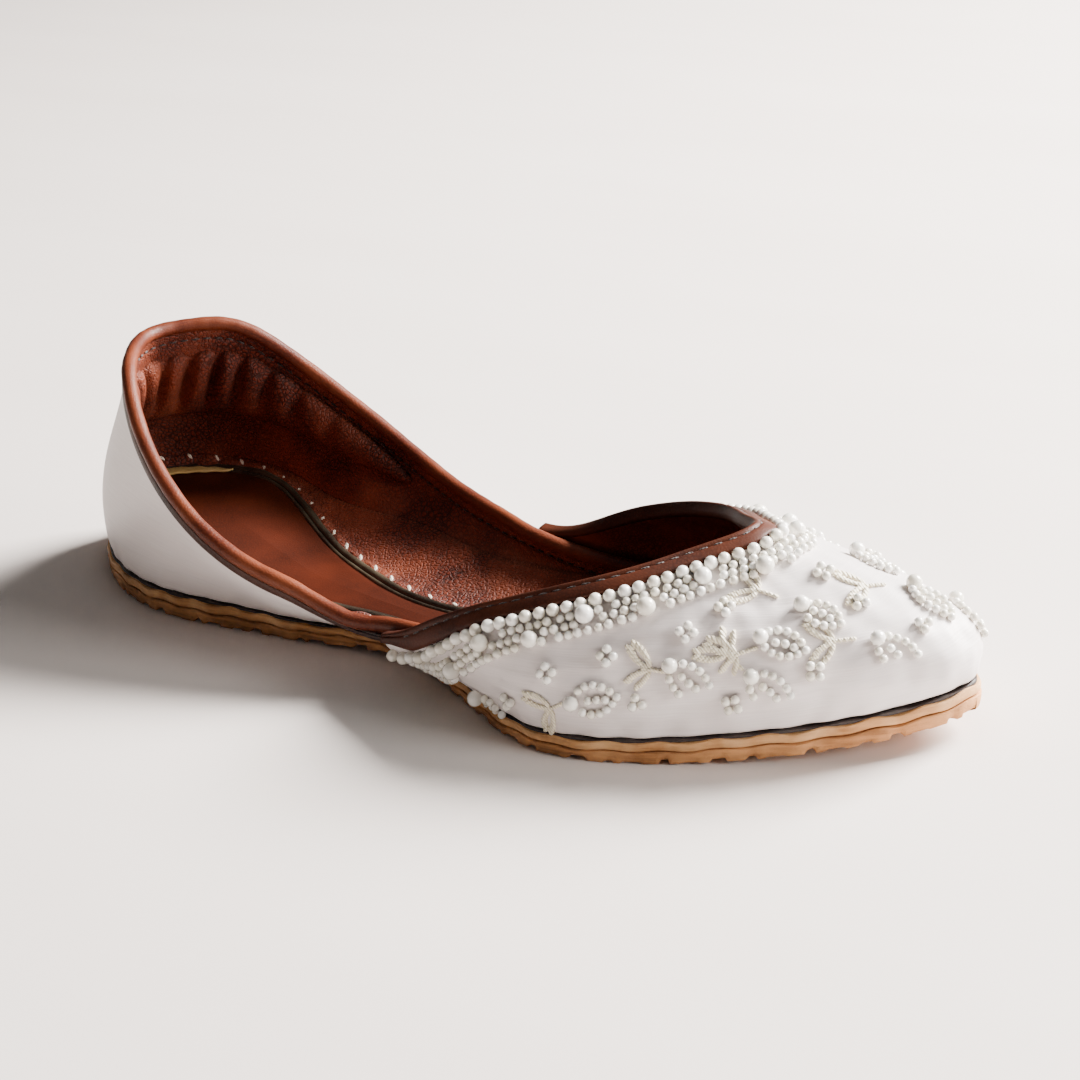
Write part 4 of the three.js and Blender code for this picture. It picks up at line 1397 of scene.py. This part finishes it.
def binding_place(t, s):
    """The strip's section, narrower at the ends of the wings."""
    side, knot = on_vamp(t)
    corners = np.arange(len(BINDING_SECTION))
    at = s[:, 0] * corners[-1]
    down = np.interp(at, corners, [d for d, _ in BINDING_SECTION])
    out = np.interp(at, corners, [o for _, o in BINDING_SECTION])
    narrow = 0.5 + 0.5 * smooth((1 - np.abs(t[0])) / 0.09)
    rows = [last(side[0], knot[0], down_from("vamp", knot[0], d * narrow), o) for d, o in zip(down, out)]
    return np.stack(rows)


vamp_edging = lay_sheet("vamp_edging", VAMP_AROUND, 2 * (len(BINDING_SECTION) - 1), binding_place)
thicken(vamp_edging, BINDING_LEATHER)
hand_over(vamp_edging, binding_leather_painted_shade, "brown_edge_leather", "vamp_binding")

# %% Its stitches
EDGE_POINTS = 2001
EDGING_PITCH = 3.4
EDGING_STITCH = (2.6, 0.55, 0.5)


def edge_line(down, out):
    """The line at this distance below the vamp's edge, and the way out from the last there."""
    side, knot = on_vamp(np.linspace(-1, 1, EDGE_POINTS))
    part = down_from("vamp", knot, down)
    line = last(side, knot, part, out)
    return line, last(side, knot, part, out + 1.0) - line


line, outward = edge_line(STITCH_DROP, BINDING_FACE + 0.42)
stops, _ = stops_along(line, EDGING_PITCH)
edging_stitches = grains(
    "edging_stitches", pick(line, stops), heading(line, stops), pick(outward, stops),
    EDGING_STITCH, sides=6)
hand_over(edging_stitches, brown_thread, "brown_thread")

# %% [markdown]
# ## Pearls and seed beads
#
# The vamp is worked with imitation pearls: glass cores dipped in pearl lacquer. The eye gets a milky white
# that differs a little from bead to bead, one small sharp glint from the clear outer film and a wider soft
# one below it. Each bead carries a random shade from its mesh for the difference, and a clear coat gives
# the sharp glint. Sewn beads crowd each other, so a bead is only laid where most of its room is free.

# %% Pearl lacquer
pearl, tree = new_material("imitation_pearl_lacquer")
shade = add(tree, "Attribute", {}, attribute_name="shade")
milky = add(tree, "Mix", {
    0: shade.outputs["Fac"], 6: linear("#EAE5D6"), 7: linear("#FDFBF5")}, data_type="RGBA")
shader = add(tree, "BsdfPrincipled", {
    "Base Color": milky.outputs[2],
    "Roughness": 0.26,
    "Coat Weight": 1.0,
    "Coat Roughness": 0.05,
    "Subsurface Weight": 0.15,
    "Subsurface Scale": 0.6 * MM,
    "Subsurface Radius": (1.0, 0.9, 0.8),
})
add(tree, "OutputMaterial", {"Surface": shader.outputs[0]})
# rayon floss: cream, with more shine than linen
embroidery_thread = thread("rayon_thread_cream", "#DDD0B0", "#F8F1DE", 0.45, 0.5)
print(pearl.name, embroidery_thread.name)

# %% Beads that keep their distance
PEARL = 3.05
ACCENT = 4.15
LEAF_PEARL = 3.7
SEED = 2.2
LEAF_SEED = 2.0
SEATED = 0.42                 # a bead's middle stands this share of its size above the satin
OFF_SATIN = 1.2               # a place further than this from the satin is past its edge
beads = []


def lay_bead(point, size, crowd=0.8):
    """Presses a bead on the satin, unless the satin ends there or another bead has the room."""
    size *= chance.uniform(0.95, 1.05)
    spot, normal, _, gap = vamp_tree.find_nearest(Vector(point))
    place = spot + normal * SEATED * size * MM
    if beads:
        taken = np.array(beads)
        gaps = np.linalg.norm(taken[:, :3] - np.array(place), axis=1) / MM
        if np.any(gaps < crowd * (taken[:, 6] + size) / 2):
            return
    if gap < OFF_SATIN * MM:
        beads.append((*place, *normal, size))


def sew_on(name, first, sides):
    """Makes the beads from number first onward one mesh."""
    laid = np.array(beads[first:])
    across = np.cross(laid[:, 3:6], (0.3, 0.5, 0.8))
    piece = grains(name, laid[:, :3], across, laid[:, 3:6], laid[:, 6:7], sides)
    hand_over(piece, pearl, "pearl_beads")


print("pearls of", PEARL, ACCENT, LEAF_PEARL, "and seeds of", SEED, "mm")

# %% [markdown]
# ## The pearl band
#
# A row of pearls lies against the binding, larger accents follow it every 13 mm, now high, now low, and the
# room between is filled with short strings of seed beads that lean one way up to an accent and the other way
# after it. All of it is measured along the vamp's edge, so the band wraps the point and both wings.

# %% The band
BAND_TOP = BINDING_WIDTH + 1.45
PEARL_PITCH = 3.3
ACCENT_PITCH = 13.0
ACCENT_DROPS = (3.2, 5.5)
STRING_DROP = 4.5
STRING_PITCH = 2.3
STRING_STEP = 2.05            # from one seed of a string to the next
STRING_LEAN = 0.38


def band_stops(down, pitch, first=0.0):
    """Even stops along the band: places, the way along, the way down the vamp and the distance walked."""
    line = edge_line(down, VAMP_LAP)[0]
    lower = edge_line(down + 1.0, VAMP_LAP)[0]
    stops, walked = stops_along(line, pitch, first)
    along = unit(heading(line, stops))
    return pick(line, stops), along, square_to(pick(lower - line, stops), along), walked


for spot in band_stops(BAND_TOP, PEARL_PITCH)[0]:
    lay_bead(spot, PEARL)
places, _, below, walked = band_stops(BAND_TOP, ACCENT_PITCH, first=ACCENT_PITCH / 2)
for spot, way_down, distance in zip(places, below, walked):
    drop = ACCENT_DROPS[int(distance // ACCENT_PITCH) % 2]
    lay_bead(spot + way_down * drop * MM, ACCENT)
sew_on("band_pearls", 0, sides=12)

first_seed = len(beads)
for row in (0, -1, 1):
    places, along, below, walked = band_stops(BAND_TOP + STRING_DROP, STRING_PITCH)
    for spot, way_on, way_down, distance in zip(places, along, below, walked):
        lean = STRING_LEAN if (distance - ACCENT_PITCH / 2) // ACCENT_PITCH % 2 else -STRING_LEAN
        loose = chance.gauss(0, 0.12) * way_on
        lay_bead(spot + (row * STRING_STEP * (way_down + lean * way_on) + loose) * MM, SEED)
sew_on("band_seeds", first_seed, sides=8)

# %% [markdown]
# ## Leaves, sprigs and clusters
#
# The rest of the vamp is scattered with one motif: a pearl, a leaf of two curved strings of seeds that meet
# in a point, some seeds inside it, and a thread sprig of two small leaves whose stem ends at the pearl.
# Groups of three or four seeds fill the gaps. Places are given in the shoe's own measure: a row of the last,
# counted past the toe onto the other side, and a share of the way up. The heading is in degrees from
# "straight to the toe", upward positive.

# %% Where a motif lies
def motif_frame(side, row, up):
    """A motif's middle, the way to the toe and the way up the vamp, both in the satin's plane."""
    knot = row_knot(min(row, 2 * TOE_ROW - row))
    turned = -side if row > TOE_ROW else side
    middle = last(np.array(turned), np.array(knot), np.array(up), VAMP_LAP)
    spot, normal, _, _ = vamp_tree.find_nearest(Vector(middle))
    normal = np.array(normal)
    toeward = unit(np.array((1.0, 0.0, 0.0)) - normal[0] * normal)
    return np.array(spot), toeward, np.cross(normal, toeward) * (1 if side < 0 else -1)


def turn_to(toeward, upward, heading_degrees):
    """The way that a heading points, and the way square to it."""
    angle = math.radians(heading_degrees)
    way = math.cos(angle) * toeward + math.sin(angle) * upward
    return way, math.cos(angle) * upward - math.sin(angle) * toeward


print("middle of the vamp at", motif_frame(-1, 11.0, 0.5)[0].round(3))

# %% Beaded leaves
# row, share of the way up, heading, length from pearl to tip and width in mm
LEAVES_OUTSIDE = (
    (8.1, 0.12, -25, 11.0, 8.0),
    (9.5, 0.25, 15, 10.5, 8.5),
    (10.6, 0.47, -32, 12.0, 9.0),
    (11.25, 0.37, -35, 12.0, 9.0),
    (11.7, 0.57, 5, 10.0, 7.5),
    (12.6, 0.70, 0, 9.5, 7.5),
    (12.8, 0.46, -5, 12.0, 8.5),
    (14.4, 0.60, -5, 11.5, 8.0),
    (15.1, 0.40, 0, 11.0, 8.0),
    (15.2, 0.75, 5, 10.5, 7.5),
)
LEAVES_INSIDE = (
    (8.3, 0.15, -10, 11.0, 8.5),
    (9.3, 0.35, 25, 10.5, 8.0),
    (10.3, 0.25, -25, 11.5, 8.5),
    (10.7, 0.60, -15, 10.0, 7.5),
    (11.6, 0.40, -30, 11.5, 8.5),
)
LEAF_CROWD = 0.66             # the seeds of a leaf are drawn tight
LEAF_POINTS = 200


def lay_leaf(side, row, up, heading_degrees, length, width):
    """A pearl, two curved strings that meet in the tip and a line of seeds between them."""
    base, toeward, upward = motif_frame(side, row, up)
    way, square = turn_to(toeward, upward, heading_degrees)
    lay_bead(base, LEAF_PEARL, crowd=0.6)        # a pearl pushes its way between seeds
    share = np.linspace(1, 0, LEAF_POINTS)
    reach = 1.0 + (length - 1.0) * share
    half = (width - LEAF_SEED) / 2 * np.sin(math.pi * (0.14 + 0.86 * share)) ** 0.8
    walked = np.concatenate([[0], np.cumsum(np.hypot(np.diff(reach), np.diff(half)))])
    for stop in np.arange(0, walked[-1], LEAF_SEED * 0.97):
        far, wide = np.interp(stop, walked, reach), np.interp(stop, walked, half)
        for turned in (-1, 1) if stop else (0,):
            lay_bead(base + (far * way + turned * wide * square) * MM, LEAF_SEED, LEAF_CROWD)
    for far in np.arange(length - 2.6, 2.2, -LEAF_SEED):
        lay_bead(base + (far * way + chance.uniform(-0.2, 0.2) * square) * MM, LEAF_SEED, LEAF_CROWD)


first_seed = len(beads)
for side, leaves in ((-1, LEAVES_OUTSIDE), (1, LEAVES_INSIDE)):
    for leaf in leaves:
        lay_leaf(side, *leaf)
sew_on("leaf_beads", first_seed, sides=9)

# %% Seed clusters
# row, share of the way up
CLUSTERS_OUTSIDE = (
    (8.7, 0.20), (9.4, 0.45), (10.1, 0.55), (10.1, 0.25), (11.0, 0.65), (11.7, 0.75),
    (10.9, 0.20), (13.6, 0.80), (13.3, 0.65), (11.9, 0.35), (13.5, 0.45),
)
CLUSTERS_INSIDE = (
    (8.9, 0.30), (9.7, 0.50), (9.8, 0.15), (10.9, 0.35), (11.1, 0.70), (11.9, 0.60), (11.0, 0.20),
)


def lay_cluster(side, row, up):
    """Three or four seeds close together."""
    middle, toeward, upward = motif_frame(side, row, up)
    start = chance.uniform(0, 120)
    count = chance.choice((3, 3, 4))
    for turn in range(count):
        way, _ = turn_to(toeward, upward, start + 360 * turn / count)
        lay_bead(middle + way * (1.25 if count == 3 else 1.5) * MM, SEED)


first_seed = len(beads)
for side, clusters in ((-1, CLUSTERS_OUTSIDE), (1, CLUSTERS_INSIDE)):
    for cluster in clusters:
        lay_cluster(side, *cluster)
sew_on("cluster_seeds", first_seed, sides=9)

# %% Thread sprigs
# row, share of the way up, heading to the pearl
SPRIGS_OUTSIDE = (
    (9.25, 0.20, 30),
    (10.4, 0.45, 5),
    (11.2, 0.50, -30),
    (11.3, 0.50, 35),
    (12.4, 0.80, 5),
    (13.8, 0.70, 50),
    (12.4, 0.50, 30),
)
SPRIGS_INSIDE = ((9.0, 0.25, 30), (10.0, 0.35, -30), (10.4, 0.55, 10), (11.3, 0.50, -30))
STITCH_OFF_SATIN = 1.0
STITCH_HEIGHT = 0.8
SPRIG_SPREAD = 42             # degrees between the stem's line and each leaf
stitches = []


def lay_stitch(point, way, length, width):
    """One stitch pressed on the satin."""
    spot, normal, _, gap = vamp_tree.find_nearest(Vector(point))
    if gap < STITCH_OFF_SATIN * MM:
        stitches.append((*(spot + normal * 0.3 * MM), *way, *normal, length, width, STITCH_HEIGHT))


def lay_sprig(side, row, up, heading_degrees):
    """Two thread leaves in a V, and a stem of chain stitches that leads to the pearl."""
    middle, toeward, upward = motif_frame(side, row, up)
    way, _ = turn_to(toeward, upward, heading_degrees)
    for reach in np.arange(-1.5, 4.5, 1.3):
        lay_stitch(middle + way * reach * MM, way, 1.9, 1.0)
    for spread in (-SPRIG_SPREAD, SPRIG_SPREAD):
        out, square = turn_to(toeward, upward, heading_degrees + 180 + spread)
        for step in range(6):
            reach = 1.4 + 1.1 * step
            half = 1.15 * math.sin(math.pi * (step + 1.2) / 7.4)
            for turned in (-1, 1):
                stitch_way = out + 0.55 * turned * square
                lay_stitch(middle + (reach * out + turned * half * square) * MM, stitch_way, 2.4, 1.25)


for side, sprigs in ((-1, SPRIGS_OUTSIDE), (1, SPRIGS_INSIDE)):
    for sprig in sprigs:
        lay_sprig(side, *sprig)
sewn = np.array(stitches)
thread_sprigs = grains("thread_sprigs", sewn[:, :3], sewn[:, 3:6], sewn[:, 6:9], sewn[:, 9:12], sides=8)
hand_over(thread_sprigs, embroidery_thread, "cream_thread")

# %% End
print("the shoe is dressed")
